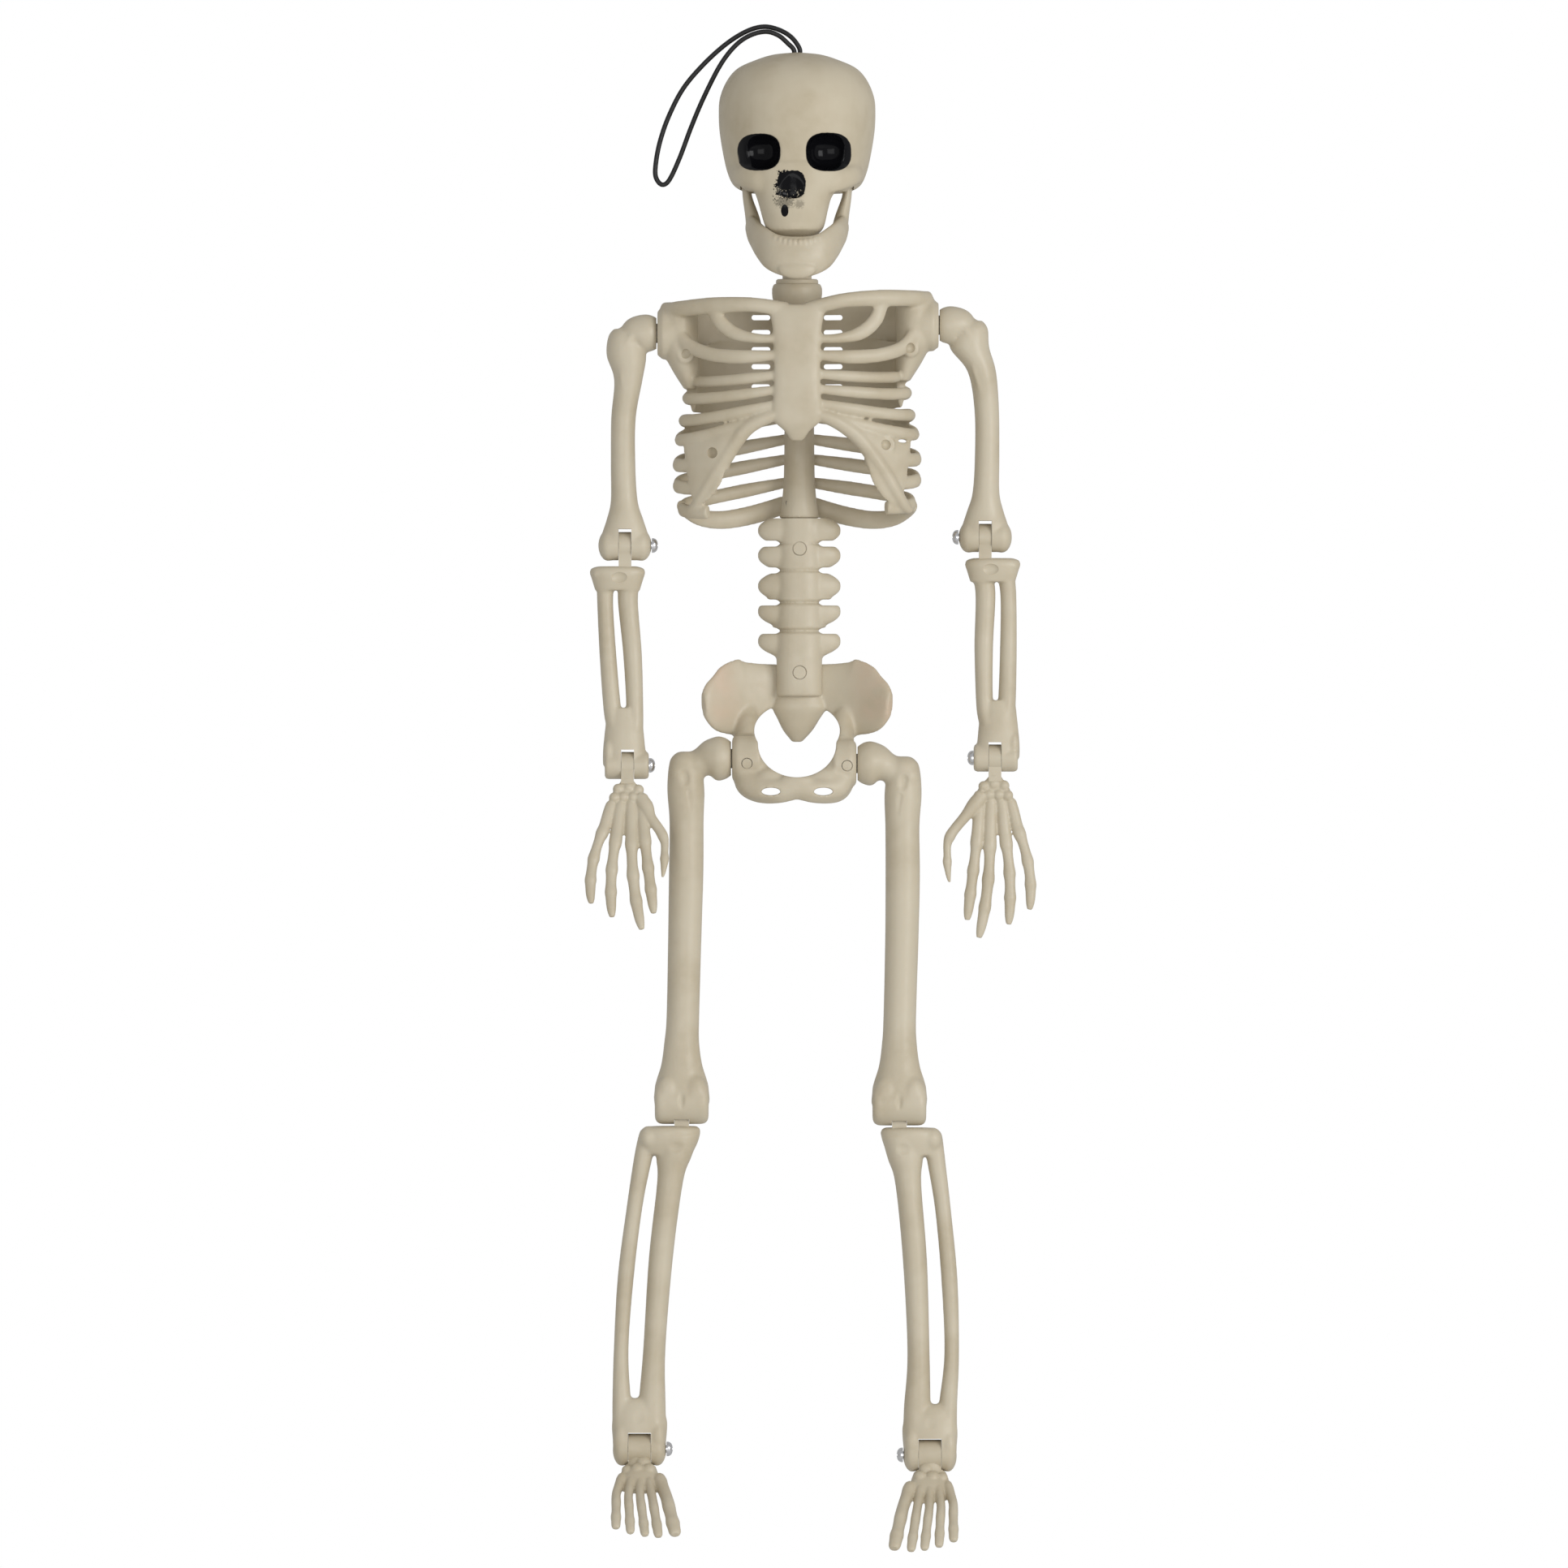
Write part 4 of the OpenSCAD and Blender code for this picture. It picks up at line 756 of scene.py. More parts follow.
def forearm(side):
    s = SIDES[side]
    x, _, z = ELBOW[side]
    wx, _, wz = WRIST[side]
    x, wx = abs(x), abs(wx)
    tongue, fork = ARM_SLOT - SIDE_GAP, WRIST_EAR
    mx = along(x, wx)
    mz = along(z, wz)
    shapes = [loft(flip(s, [(x + 2, 0, z - 5.6, 5.2, 2.8), (x + 2, 0, z - 6.2, 7, 3.8),
                            (x + 2, 0, z - 7.4, 7.4, 4.1), (x + 2, 0, z - 9, 6.9, 3.9),
                            (x + 2, 0, z - 12, 6, 3.2)]), sides=40, square=0.85),
              loft(flip(s, [(x + 5, 0, z - 9, 2.6, 3), (mx(0.25) + 5.5, 0, mz(0.25), 2.15, 2.4),
                            (mx(0.5) + 4.9, 0, mz(0.5), 2.25, 2.5), (mx(0.76) + 3.8, 0, mz(0.76), 2.4, 2.6),
                            (wx + 2.6, 0, wz + 9, 2.6, 3)])),
              loft(flip(s, [(x - 1.4, 0, z - 9, 2.9, 3), (mx(0.25) - 0.6, 0, mz(0.25), 2.7, 2.6),
                            (mx(0.5) - 1.7, 0, mz(0.5), 2.5, 2.6), (mx(0.76) - 2.1, 0, mz(0.76), 2.3, 2.6),
                            (wx - 1.4, 0, wz + 9, 2.8, 3)])),
              loft(flip(s, [(wx + 1, 0, wz + 15.4, 4.4, 2.6), (wx + 0.9, 0, wz + 11, 5, 3.2),
                            (wx + 0.9, 0, wz + 4, fork, 3.7), (wx + 0.7, 0, wz, fork + 0.2, 3.8)]), sides=40),
              axle((0, 0, wz), s * (wx - fork), s * (wx + fork + 0.4), 3.7, edge=0.8),
              ellipsoid((s * (wx + 5), -1.4, wz + 3.6), (1.5, 2, 3.4), sides=20),
              # The head of the outer bone
              ellipsoid((s * (x + 7.2), -0.4, z - 7.6), (2, 2.9, 1.7), sides=20)]
    piece = fused("forearm_bones_" + side, shapes, 0.36, 4)
    carve(piece, [ellipsoid((s * (x + 1.4), -4.3, z - 8.8), (2.4, 1, 1.7), sides=24)])
    tongue_shape = [axle((0, 0, z), s * (x - tongue), s * (x + tongue), 3.6),
                    block(s * (x - tongue), s * (x + tongue), -2.9, 2.9, z - 8.4, z)]
    join_shapes(piece, tongue_shape)
    carve(piece, [axle((0, 0, z), s * (x - 3), s * (x + 3), BORE_R)])
    carve(piece, fork_cuts(WRIST[side], s, ARM_SLOT, 8, 4.2, fork))
    return shade(piece)


# Each finger: outwards at its root and knuckle, height of the knuckle, outwards and height at the tip,
# outward bend, radius
FINGERS = [(4.2, 6.6, -20.5, 9.2, -41, 1.3, 1.5), (1.7, 3, -23.2, 3.6, -45, 0.7, 1.55),
           (-1.1, -1.4, -23.8, -4.4, -48.6, 0.7, 1.6), (-4, -4.9, -22.8, -7.5, -43.8, 0, 1.55)]
CARPALS = [(2.4, -7.6, 1.5), (-0.4, -7.2, 1.6), (-3, -7.8, 1.5), (3.4, -10.2, 1.5), (1, -10, 1.5),
           (-1.6, -10, 1.5), (-4.2, -10.4, 1.6)]
HAND_LEAN = {"right": 26.0, "left": 6.0}
HAND_TURN = {"right": 0.5, "left": 0.0}
THUMB_IN = {"right": 10.2, "left": 12.8}
HAND_BONES = [(0.0, 1.16, 1.05), (0.1, 0.94, 0.85), (0.24, 0.92, 0.84), (0.36, 1.1, 1.0), (0.44, 0.96, 0.88),
              (0.56, 0.94, 0.84), (0.66, 1.08, 0.96), (0.73, 0.96, 0.84), (0.86, 0.84, 0.74),
              (0.94, 0.66, 0.56), (0.99, 0.44, 0.38)]


def finger(s, f):
    """A bony finger: a long bone in the palm, then three joints, thin between its knuckles."""
    root, kx, kz, tx, tz, bend, r = f
    rows = flip(s, [(root, 0, -10.9, r * 0.7, r * 0.7), (root, -0.1, -11.8, r * 1.0, r * 0.95),
                    (root + (kx - root) * 0.3, -0.2, -14.4, r * 1.06, r * 0.9),
                    (root + (kx - root) * 0.7, -0.3, (kz - 12) * 0.56, r * 1.04, r * 0.88)])
    for t, a, b in HAND_BONES:
        x = kx + (tx - kx) * t + bend * 4 * t * (1 - t)
        rows.append((s * x, -0.4 + t, kz + (tz - kz) * t, r * a, r * b))
    return bar(rows, ref=(0, 1, 0), sides=20, steps=4)


def place_hand(side, shapes):
    """Shapes drawn with the wrist at the origin, leant forward, turned and put at the wrist."""
    s = SIDES[side]
    turn = Euler((math.radians(-HAND_LEAN[side]), math.radians(-s * HAND_TURN[side]), 0))
    matrix = np.array(turn.to_matrix())
    at = np.array([WRIST[side][0], 0, WRIST[side][2]])
    return [(np.asarray(p, float) @ matrix.T + at, f) for p, f in shapes]


def hand(side):
    s = SIDES[side]
    tongue = ARM_SLOT - SIDE_GAP
    t = THUMB_IN[side]
    shapes = [loft(flip(s, [(0, 0, -5, tongue, 2.6), (-0.1, 0, -6, 2.4, 2.3), (-0.2, 0, -7, 3.4, 2),
                            (-0.3, 0, -9.4, 4.7, 1.6), (-0.2, 0.2, -11.6, 5, 1.2), (0.3, 0.2, -14, 5, 0.85),
                            (0.6, 0.1, -16.8, 5, 0.6), (0.5, 0, -19.4, 3.4, 0.4),
                            (0.3, 0, -20.8, 1.6, 0.25)]),
                   sides=40, square=0.8)]
    shapes += [finger(s, f) for f in FINGERS]
    shapes += [ellipsoid((s * x, -1, z), (r, r * 0.95, r), sides=20) for x, z, r in CARPALS]
    thumb = [(3, -9.6, 1.6), (4 + 0.1 * t, -12.4, 2), (0.62 * t, -15.8, 1.5), (0.84 * t, -19.2, 1.4),
             (0.95 * t, -21.4, 1.45), (t, -23.6, 1.1), (t, -26.4, 1.05), (t, -28, 1.25),
             (0.99 * t, -30, 0.95), (0.97 * t, -32.4, 0.6), (0.95 * t, -33.6, 0.3)]
    shapes.append(bar([(-s * x, -0.8, z, r, r * 0.95) for x, z, r in thumb], ref=(0, 1, 0), sides=20, steps=4))
    piece = fused("hand_bones_" + side, place_hand(side, shapes), 0.26, 3)
    join_shapes(piece, place_hand(side, [axle((0, 0, 0), -tongue, tongue, 3.6),
                                         block(-tongue, tongue, -2.4, 2.4, -6.6, 0)]))
    carve(piece, place_hand(side, [axle((0, 0, 0), -3, 3, BORE_R)]))
    return shade(piece)


# ---- Legs ----

KNEE = {side: pivot("knee_" + side) for side in SIDES}
ANKLE = {side: pivot("ankle_" + side) for side in SIDES}
THIGH_X = {"right": 29.3, "left": 27.9}


def femur(side):
    s = SIDES[side]
    x, _, z = KNEE[side]
    x = abs(x)
    h = abs(HIP[side][0]) + 0.3
    top = HIP[side][2]
    tx = THIGH_X[side]
    mz = along(top, z)
    mx = along(tx, x)
    shapes = [bar(flip(s, [(h - 0.4, 0, top, 4.2, 4.2), (h + 1.2, 0, top, 5.4, 5.4), (h + 3.4, 0, top, 6, 6),
                           (h + 5.8, 0, top - 0.2, 5.2, 5.2), (h + 8, 0, top - 1, 3.9, 4.1),
                           (h + 12, 0, top - 3, 3.8, 4)]),
                  ref=(0, 1, 0), sides=36),
              loft(flip(s, [(tx + 0.4, 0, top + 1.9, 1.8, 1.8), (tx + 0.6, 0, top + 1.2, 2.9, 2.9),
                            (tx + 0.7, 0, top - 1, 4.2, 4.3), (tx + 0.5, 0, top - 8, 5, 4.6),
                            (tx + 0.3, 0, top - 17, 4.6, 4.4), (tx + 0.4, 0, top - 30, 4.65, 4.4),
                            (mx(0.3) + 0.3, 0, mz(0.52), 4.5, 4.4), (mx(0.8), 0, mz(0.75), 4.4, 4.4),
                            (x, 0, z + 16, 4.7, 4.4), (x, 0, z + 10, 5.5, 4.6), (x, 0, z + 5, 7, 5.2),
                            (x, 0, z, 7.6, 6)]), sides=40),
              axle((0, 0, z), s * (x - 7.2), s * (x + 7.2), 6, edge=1.6),
              # Trochanter, and the two swellings of the knee
              ellipsoid((s * (tx + 2), -0.8, top - 3.6), (3.2, 3.8, 3.8), sides=28),
              *[ellipsoid((s * (x + out), -2.6, z + 1.6), (3.6, 3.2, 5.6), (10, 0, 0), sides=28)
                for out in (-3.6, 3.6)]]
    piece = fused("femur_bone_" + side, shapes, 0.42, 5)
    dent = [ellipsoid((s * (tx + 0.6), -5.4, top - 5), (1.7, 1.6, 3), (0, s * 8, 0), sides=28),
            bar(flip(s, [(tx - 0.2, -5, top - 8, 0.8, 0.9), (tx - 1.2, -4.9, top - 16, 0.7, 0.7),
                         (tx - 1.6, -4.7, top - 26, 0.3, 0.3)]), ref=(0, 1, 0)),
            ellipsoid((s * x, -6.2, z + 1), (0.9, 0.9, 4.2), sides=24)]
    carve(piece, dent)
    fuse(piece, 0.4, 4)
    carve(piece, [block(0, s * h, -20, 20, top - 20, top + 20)])
    carve(piece, [block(s * (x - KNEE_SLOT), s * (x + KNEE_SLOT), -3.7, 20, z - 12, z + 3.9),
                  axle((0, 0, z), s * (x - 5.6), s * (x + 9), PIN_R + 0.15)])
    join_shapes(piece, peg_shapes(HIP[side], s, 4.4))
    return shade(piece)


def knee_pin(side):
    s = SIDES[side]
    x = abs(KNEE[side][0])
    piece = new_object("knee_axle_" + side,
                       [axle(KNEE[side], s * (x - 5.6), s * (x + 6.8), PIN_R + 0.2, edge=0.15)])
    return shade(piece)


def shin(side):
    s = SIDES[side]
    x, _, z = KNEE[side]
    ax, _, az = ANKLE[side]
    x, ax = abs(x), abs(ax)
    mx = along(x, ax)
    mz = along(z, az)
    fork = ANKLE_EAR
    shapes = [loft(flip(s, [(x + 2, 0.2, z - 6.5, 6, 3.4), (x + 2.8, 0.2, z - 7.2, 7.7, 4.5),
                            (x + 3.2, 0.2, z - 8.4, 8.2, 4.8), (x + 3.6, 0.2, z - 11, 7.9, 4.4),
                            (x + 3.8, 0.2, z - 14, 6.6, 3.4)]), sides=40),
              loft(flip(s, [(x + 0.6, 0, z - 9, 5.4, 4.6), (mx(0.16) + 0.3, 0, mz(0.16), 4.7, 4.3),
                            (mx(0.23) + 0.5, 0, mz(0.23), 3.5, 3.7), (mx(0.45) + 0.5, 0, mz(0.45), 3.25, 3.6),
                            (mx(0.71) - 0.7, 0, mz(0.71), 3, 3.4), (ax - 3.4, 0, az + 13, 3.6, 3.4),
                            (ax - 3.4, 0, az + 6, 3.8, 3.8)])),
              loft(flip(s, [(x + 9, 0.4, z - 9, 2.6, 2.8), (mx(0.16) + 8.5, 0.4, mz(0.16), 2.5, 2.6),
                            (mx(0.3) + 9.2, 0.4, mz(0.3), 2.15, 2.3), (mx(0.5) + 9.3, 0.4, mz(0.5), 2.2, 2.3),
                            (mx(0.71) + 8.2, 0.2, mz(0.71), 2, 2.3), (ax + 4.8, 0, az + 13, 2.5, 2.6),
                            (ax + 4.6, 0, az + 6, 2.7, 3.2)])),
              loft(flip(s, [(ax + 1.2, 0, az + 13.6, 2.6, 1.8), (ax + 0.6, 0, az + 12, 5.6, 3),
                            (ax, 0, az + 8.4, 7.2, 3.8), (ax, 0, az + 5, 7.4, 4.1),
                            (ax, 0, az, fork - 0.3, 4.2)]), sides=40, square=0.9),
              axle((0, 0, az), s * (ax - fork + 0.7), s * (ax + fork - 0.7), 4.2, edge=1.4),
              *[ellipsoid((s * (ax + out), 0, az - 0.2), (2.5, 4.2, 4.4), sides=32) for out in (-4.7, 4.7)],
              ellipsoid((s * (x + 8.8), -1, z - 9.6), (2.7, 3.2, 3.2), sides=24),
              # Ankle bones each side of the fork
              ellipsoid((s * (ax + 5), -1.6, az + 2), (2.2, 2.6, 5), sides=24),
              ellipsoid((s * (ax - 4.8), -1.8, az + 3.4), (2.2, 2.6, 4.4), sides=24)]
    piece = fused("shin_bones_" + side, shapes, 0.4, 5)
    carve(piece, [ellipsoid((s * (x + 1), -5, z - 12.4), (3.4, 1.1, 1.9), sides=28),
                  ellipsoid((s * ax, -4.4, az + 10), (2.6, 1, 3.6), (0, -s * 12, 0), sides=28)])
    fuse(piece, 0.38, 3)
    tongue = KNEE_SLOT - SIDE_GAP
    join_shapes(piece, [axle((0, 0, z), s * (x - tongue), s * (x + tongue), 3.4),
                        block(s * (x - tongue), s * (x + tongue), -2.6, 2.8, z - 9, z)])
    carve(piece, [axle((0, 0, z), s * (x - 3), s * (x + 3), PIN_R + 0.2 + GAP)])
    carve(piece, fork_cuts(ANKLE[side], s, ANKLE_SLOT, 8, 4.4, fork))
    return shade(piece)


# Each toe: outwards at the knuckle and at the tip, length, radius
TOES = [(-7.1, -9.8, 35.6, 1.95), (-3.4, -5.3, 36.6, 1.46), (-0.2, -1.7, 36, 1.42), (2.9, 2.2, 34.6, 1.42),
        (6.1, 6.1, 32, 1.46)]
FOOT_SLOPE = {"right": 27.0, "left": 31.5}
TOE_BONES = [(0.26, 0.9, 0.9), (0.32, 0.98, 1.1), (0.4, 0.88, 0.95), (0.54, 0.84, 0.95), (0.66, 0.9, 1.08),
             (0.73, 0.86, 0.86), (0.8, 0.86, 0.8), (0.86, 0.98, 0.92), (0.91, 0.9, 0.8), (0.97, 0.84, 0.66),
             (1.0, 0.6, 0.44)]


def foot(side):
    s = SIDES[side]
    at = np.array([ANKLE[side][0], 0, ANKLE[side][2]])
    slope = np.array(Euler((math.radians(FOOT_SLOPE[side]), 0, 0)).to_matrix())
    sole = [bar(flip(s, [(0.4, 6.6, -5, 2.4, 2.4), (0.3, 5, -4.2, 3, 3.1), (0.2, 3.4, -3.2, 3.2, 3.4),
                         (0, -2, -1, 3.7, 3.5), (-0.4, -8, 0, 5, 2.9), (-0.6, -12, -0.2, 5.6, 1.8),
                         (-0.6, -14.6, -0.6, 5.2, 1)]), sides=32)]
    for knuckle, tip, length, r in TOES:
        rows = []
        for t, a, b in TOE_BONES:
            out = max(0.0, (t - 0.5) / 0.5)
            x = knuckle * min(1.0, 0.44 + 1.1 * t) + (tip - knuckle) * out
            rows.append((s * x, -length * t, 0.4 - 2.6 * t ** 3, r * a, r * b))
        sole.append(bar(rows, sides=20, steps=4))
    for x, y, z, r in ((-2.6, -7.4, 2.1, 1.8), (0.6, -7.6, 2.3, 1.8), (3.2, -7, 1.6, 1.6), (-1, -4.4, 2.6, 2)):
        sole.append(ellipsoid((s * x, y, z), (r, r, r * 0.8), sides=20))
    shapes = [((np.asarray(p) + [0, 0, -4.2]) @ slope.T + at, f) for p, f in sole]
    tongue = ANKLE_SLOT - SIDE_GAP
    body = [loft([(0, -0.4, -2, tongue, 3.2), (0, -0.6, -5.2, 4.5, 3.6), (0, -1, -8, 5.3, 4.6),
                  (0, -1, -10.6, 4.6, 4.6)], sides=40, square=0.8)]
    shapes += moved(body, at)
    piece = fused("foot_bones_" + side, shapes, 0.27, 3)
    carve(piece, moved([axle((0, 0, 0), tongue, 12, 4.8), axle((0, 0, 0), -tongue, -12, 4.8)], at))
    join_shapes(piece, moved([axle((0, 0, 0), -tongue, tongue, 4.1),
                              block(-tongue, tongue, -2.9, 2.6, -6, 0)], at))
    carve(piece, [axle((0, 0, at[2]), at[0] - 5, at[0] + 5, BORE_R)])
    return shade(piece)


# ---- Cord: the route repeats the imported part's, here in millimetres ----

CORD_D = 1.3
CORD_GAP = 0.72
CORD_ROUTE = [(CORD_GAP, 0, -3.4), (CORD_GAP, 0, -1), (0.6, 0, 1.2), (-1.6, 0.3, 4.2), (-5, 0.9, 6.2),
              (-9, 1.5, 7), (-13.5, 1.9, 5.8), (-19, 2.2, 2.4), (-25, 2.4, -3), (-30.5, 2.5, -9.5),
              (-34.4, 2.5, -17), (-36.8, 2.4, -24), (-37.9, 2.3, -30), (-37.8, 2.1, -33.4),
              (-36.2, 1.9, -35.3), (-34.2, 1.7, -34), (-31.4, 1.4, -28), (-28.4, 1, -20), (-25, 0.4, -12),
              (-20.6, 0, -3.4), (-16.6, 0, 1.8), (-12.6, 0, 4.6), (-8.4, -0.2, 5.6), (-5, -0.2, 4.6),
              (-2.4, -0.1, 2.4), (-0.9, 0, 0.8), (-CORD_GAP, 0, -1), (-CORD_GAP, 0, -3.4)]


def hanging_cord():
    line = spline(CORD_ROUTE, 8) * MM
    curve = bpy.data.curves.new("hanging_cord_loop", "CURVE")
    curve.dimensions = "3D"
    curve.bevel_depth = CORD_D / 2 * MM
    curve.bevel_resolution = 5
    curve.use_fill_caps = True
    run = curve.splines.new("POLY")
    run.points.add(len(line) - 1)
    for point, at in zip(run.points, line):
        point.co = (*at, 1)
    piece = bpy.data.objects.new("hanging_cord_loop", curve)
    bpy.context.scene.collection.objects.link(piece)
    length = float(np.linalg.norm(np.diff(line, axis=0), axis=1).sum())
    return piece, tuple(line[0]), length


def cord_knot():
    turns = [ellipsoid((0, 0, -5.2), (1.9, 1.9, 1.8), sides=28)]
    for k in range(3):
        a = math.radians(60 * k)
        ring = [(1.5 * math.cos(t) * math.cos(a), 1.5 * math.cos(t) * math.sin(a), -5.2 + 1.5 * math.sin(t),
                 0.62, 0.62) for t in np.linspace(0, 2 * math.pi, 13)]
        turns.append(bar(ring, ref=(-math.sin(a), math.cos(a), 0.001), sides=12, steps=3))
    piece = fused("cord_end_knot", turns, 0.2, 1)
    return shade(piece)


# ---- Materials ----

class Nodes:
    """Short calls for building one material's nodes."""

    def __init__(self, name):
        self.material = bpy.data.materials.new(name)
        self.material.use_nodes = True
        self.tree = self.material.node_tree
        self.shader = self.tree.nodes["Principled BSDF"]
        coords = self.add("ShaderNodeTexCoord")
        scale = self.add("ShaderNodeVectorMath", operation="SCALE")
        scale.inputs["Scale"].default_value = 1 / MM
        self.link(coords.outputs["Object"], scale.inputs[0])
        self.place = scale.outputs[0]      # millimetres in the row frame

    def add(self, kind, **settings):
        node = self.tree.nodes.new(kind)
        for key, value in settings.items():
            setattr(node, key, value)
        return node

    def link(self, a, b):
        self.tree.links.new(a, b)

    def finish(self, colour, rough, grain, strength, distance):
        """Links the colour, the roughness and a bump of so many millimetres, and gives the material."""
        self.link(colour, self.shader.inputs["Base Color"])
        self.link(rough, self.shader.inputs["Roughness"])
        self.bump(grain, strength, distance * MM)
        return self.material

    def math(self, how, *values):
        node = self.add("ShaderNodeMath", operation=how)
        for socket, value in zip(node.inputs, values):
            if isinstance(value, (int, float)):
                socket.default_value = value
            else:
                self.link(value, socket)
        return node.outputs[0]

    def times(self, a, b):
        return self.math("MULTIPLY", a, b)

    def plus(self, a, b):
        return self.math("ADD", a, b)

    def minus(self, a, b):
        return self.math("SUBTRACT", a, b)

    def noise(self, scale, detail=3.0, roughness=0.55):
        node = self.add("ShaderNodeTexNoise")
        node.inputs["Scale"].default_value = scale
        node.inputs["Detail"].default_value = detail
        node.inputs["Roughness"].default_value = roughness
        self.link(self.place, node.inputs["Vector"])
        return node.outputs["Fac"]

    def between(self, value, low, high, out_low=0.0, out_high=1.0):
        node = self.add("ShaderNodeMapRange", clamp=True, interpolation_type="SMOOTHSTEP")
        self.link(value, node.inputs["Value"])
        for name, number in zip(("From Min", "From Max", "To Min", "To Max"), (low, high, out_low, out_high)):
            node.inputs[name].default_value = number
        return node.outputs["Result"]

    def colours(self, share, a, b):
        node = self.add("ShaderNodeMix", data_type="RGBA")
        self.link(share, node.inputs["Factor"])
        for socket, value in ((node.inputs["A"], a), (node.inputs["B"], b)):
            if isinstance(value, tuple):
                socket.default_value = (*value, 1)
            else:
                self.link(value, socket)
        return node.outputs["Result"]

    def bump(self, height, strength, distance):
        node = self.add("ShaderNodeBump")
        node.inputs["Strength"].default_value = strength
        node.inputs["Distance"].default_value = distance
        self.link(height, node.inputs["Height"])
        self.link(node.outputs[0], self.shader.inputs["Normal"])

    def axes(self):
        node = self.add("ShaderNodeSeparateXYZ")
        self.link(self.place, node.inputs[0])
        return node.outputs


BONE = (0.56, 0.5, 0.38)
BONE_DARK = (0.485, 0.42, 0.3)
BONE_PINK = (0.56, 0.485, 0.37)


def bone_colour(n):
    """Warm beige plastic with faint cloudiness in the moulding."""
    cloud = n.between(n.noise(0.055, 3), 0.35, 0.68)
    grain = n.between(n.noise(0.5, 4), 0.3, 0.75, 0, 0.35)
    return n.colours(grain, n.colours(cloud, BONE, BONE_DARK), BONE_PINK)


def bone_finish(n, colour):
    """Soft plastic that lets a little light in, with faint waves in its skin."""
    n.shader.inputs["Subsurface Weight"].default_value = 0.12
    n.shader.inputs["Subsurface Radius"].default_value = (1.0, 0.7, 0.45)
    n.shader.inputs["Subsurface Scale"].default_value = 1.2 * MM
    return n.finish(colour, n.between(n.noise(0.35, 4), 0.3, 0.7, 0.4, 0.52), n.noise(1.1, 4), 0.12, 0.12)


def bone_material():
    n = Nodes("bone_plastic")
    return bone_finish(n, bone_colour(n))


def wing_material():
    """The pelvis, whose wings are a little pinker inside."""
    n = Nodes("bone_plastic_pelvis")
    x, _, z = n.axes()
    out = n.between(n.math("ABSOLUTE", x), 12, 21)
    up = n.between(z, -182, -176)
    blush = n.times(n.times(out, up), n.between(n.noise(0.09, 2), 0.3, 0.65))
    return bone_finish(n, n.colours(n.times(blush, 0.8), bone_colour(n), (0.585, 0.455, 0.335)))


def oval(n, x, z, at, half, power, wobble):
    """Under 1 inside an oval or a rounded square."""
    a = n.math("POWER", n.math("ABSOLUTE", n.math("DIVIDE", n.minus(x, at[0]), half[0])), power)
    b = n.math("POWER", n.math("ABSOLUTE", n.math("DIVIDE", n.minus(z, at[1]), half[1])), power)
    return n.plus(n.plus(a, b), wobble)


def painted_skull_material():
    """Bone plastic with glossy black paint in the eyes and a ragged patch on the nose."""
    n = Nodes("bone_plastic_painted")
    x, y, z = n.axes()
    n.shader.inputs["Specular IOR Level"].default_value = 0.12
    ragged = n.minus(n.noise(0.9, 5, 0.65), 0.5)
    fine = n.minus(n.noise(2.4, 4, 0.7), 0.5)
    paint = None
    soft = 0.05
    eyes = [((ex, ez), (w * 1.03, h * 1.03), 2.6) for ex, ez, w, h in EYES.values()]
    for at, half, power in eyes:
        rim = oval(n, x, z, at, half, power, n.times(ragged, 0.12))
        inside = n.between(rim, 1 - soft, 1 + soft, 1, 0)
        paint = inside if paint is None else n.math("MAXIMUM", paint, inside)
    # The nose is solid towards +X and breaks up towards -X
    thin = n.between(x, -5.6, -0.6, 3.4, 0.5)
    rough_edge = n.times(n.plus(ragged, n.times(fine, 0.8)), thin)
    nose = n.between(oval(n, x, z, (-1.7, -36.0), (4.0, 3.8), 2.8, rough_edge), 0.94, 1.04, 1, 0)
    # Bare specks in its lower half, and black ones below to the left
    bare = n.times(n.between(n.noise(1.4, 3, 0.6), 0.6, 0.66), n.between(z, -37.8, -36.6, 1, 0))
    nose = n.times(nose, n.minus(1.0, n.times(bare, 0.6)))
    near = n.between(oval(n, x, z, (-4.4, -38.8), (2.6, 3.2), 2, 0.0), 0.5, 1.2, 1, 0)
    specks = n.times(near, n.between(n.noise(1.7, 4, 0.6), 0.53, 0.58))
    nose = n.math("MAXIMUM", nose, specks)
    edge = oval(n, x, z, (-3.3, -43.0), (1.0, 1.65), 2, n.times(ragged, 0.5))
    drip = n.between(edge, 0.9, 1.1, 1, 0)
    edge = oval(n, x, z, (-3.2, -40.8), (2.6, 1.7), 2, n.times(fine, 5))
    smear = n.times(n.between(edge, 0.3, 1.3, 1, 0), 0.55)
    edge = oval(n, x, z, (0.7, -41.2), (1.3, 1.3), 2, n.times(fine, 4))
    smear_2 = n.times(n.between(edge, 0.3, 1.3, 1, 0), 0.4)
    for mark in (nose, drip, smear, smear_2):
        paint = n.math("MAXIMUM", paint, mark)
    paint = n.times(paint, n.between(y, -13, -12, 1, 0))
    rough = n.between(n.noise(0.35, 4), 0.3, 0.7, 0.36, 0.46)
    return n.finish(n.colours(paint, bone_colour(n), (0.004, 0.004, 0.005)),
                    n.plus(n.times(rough, n.minus(1.0, paint)), n.times(paint, 0.13)),
                    n.noise(1.1, 4), 0.1, 0.12)


def steel_material():
    n = Nodes("steel")
    n.shader.inputs["Metallic"].default_value = 1.0
    return n.finish(n.colours(n.noise(1.5, 3), (0.62, 0.62, 0.64), (0.78, 0.78, 0.79)),
                    n.between(n.noise(3.0, 3), 0.3, 0.7, 0.16, 0.32), n.noise(5.0, 3), 0.1, 0.03)


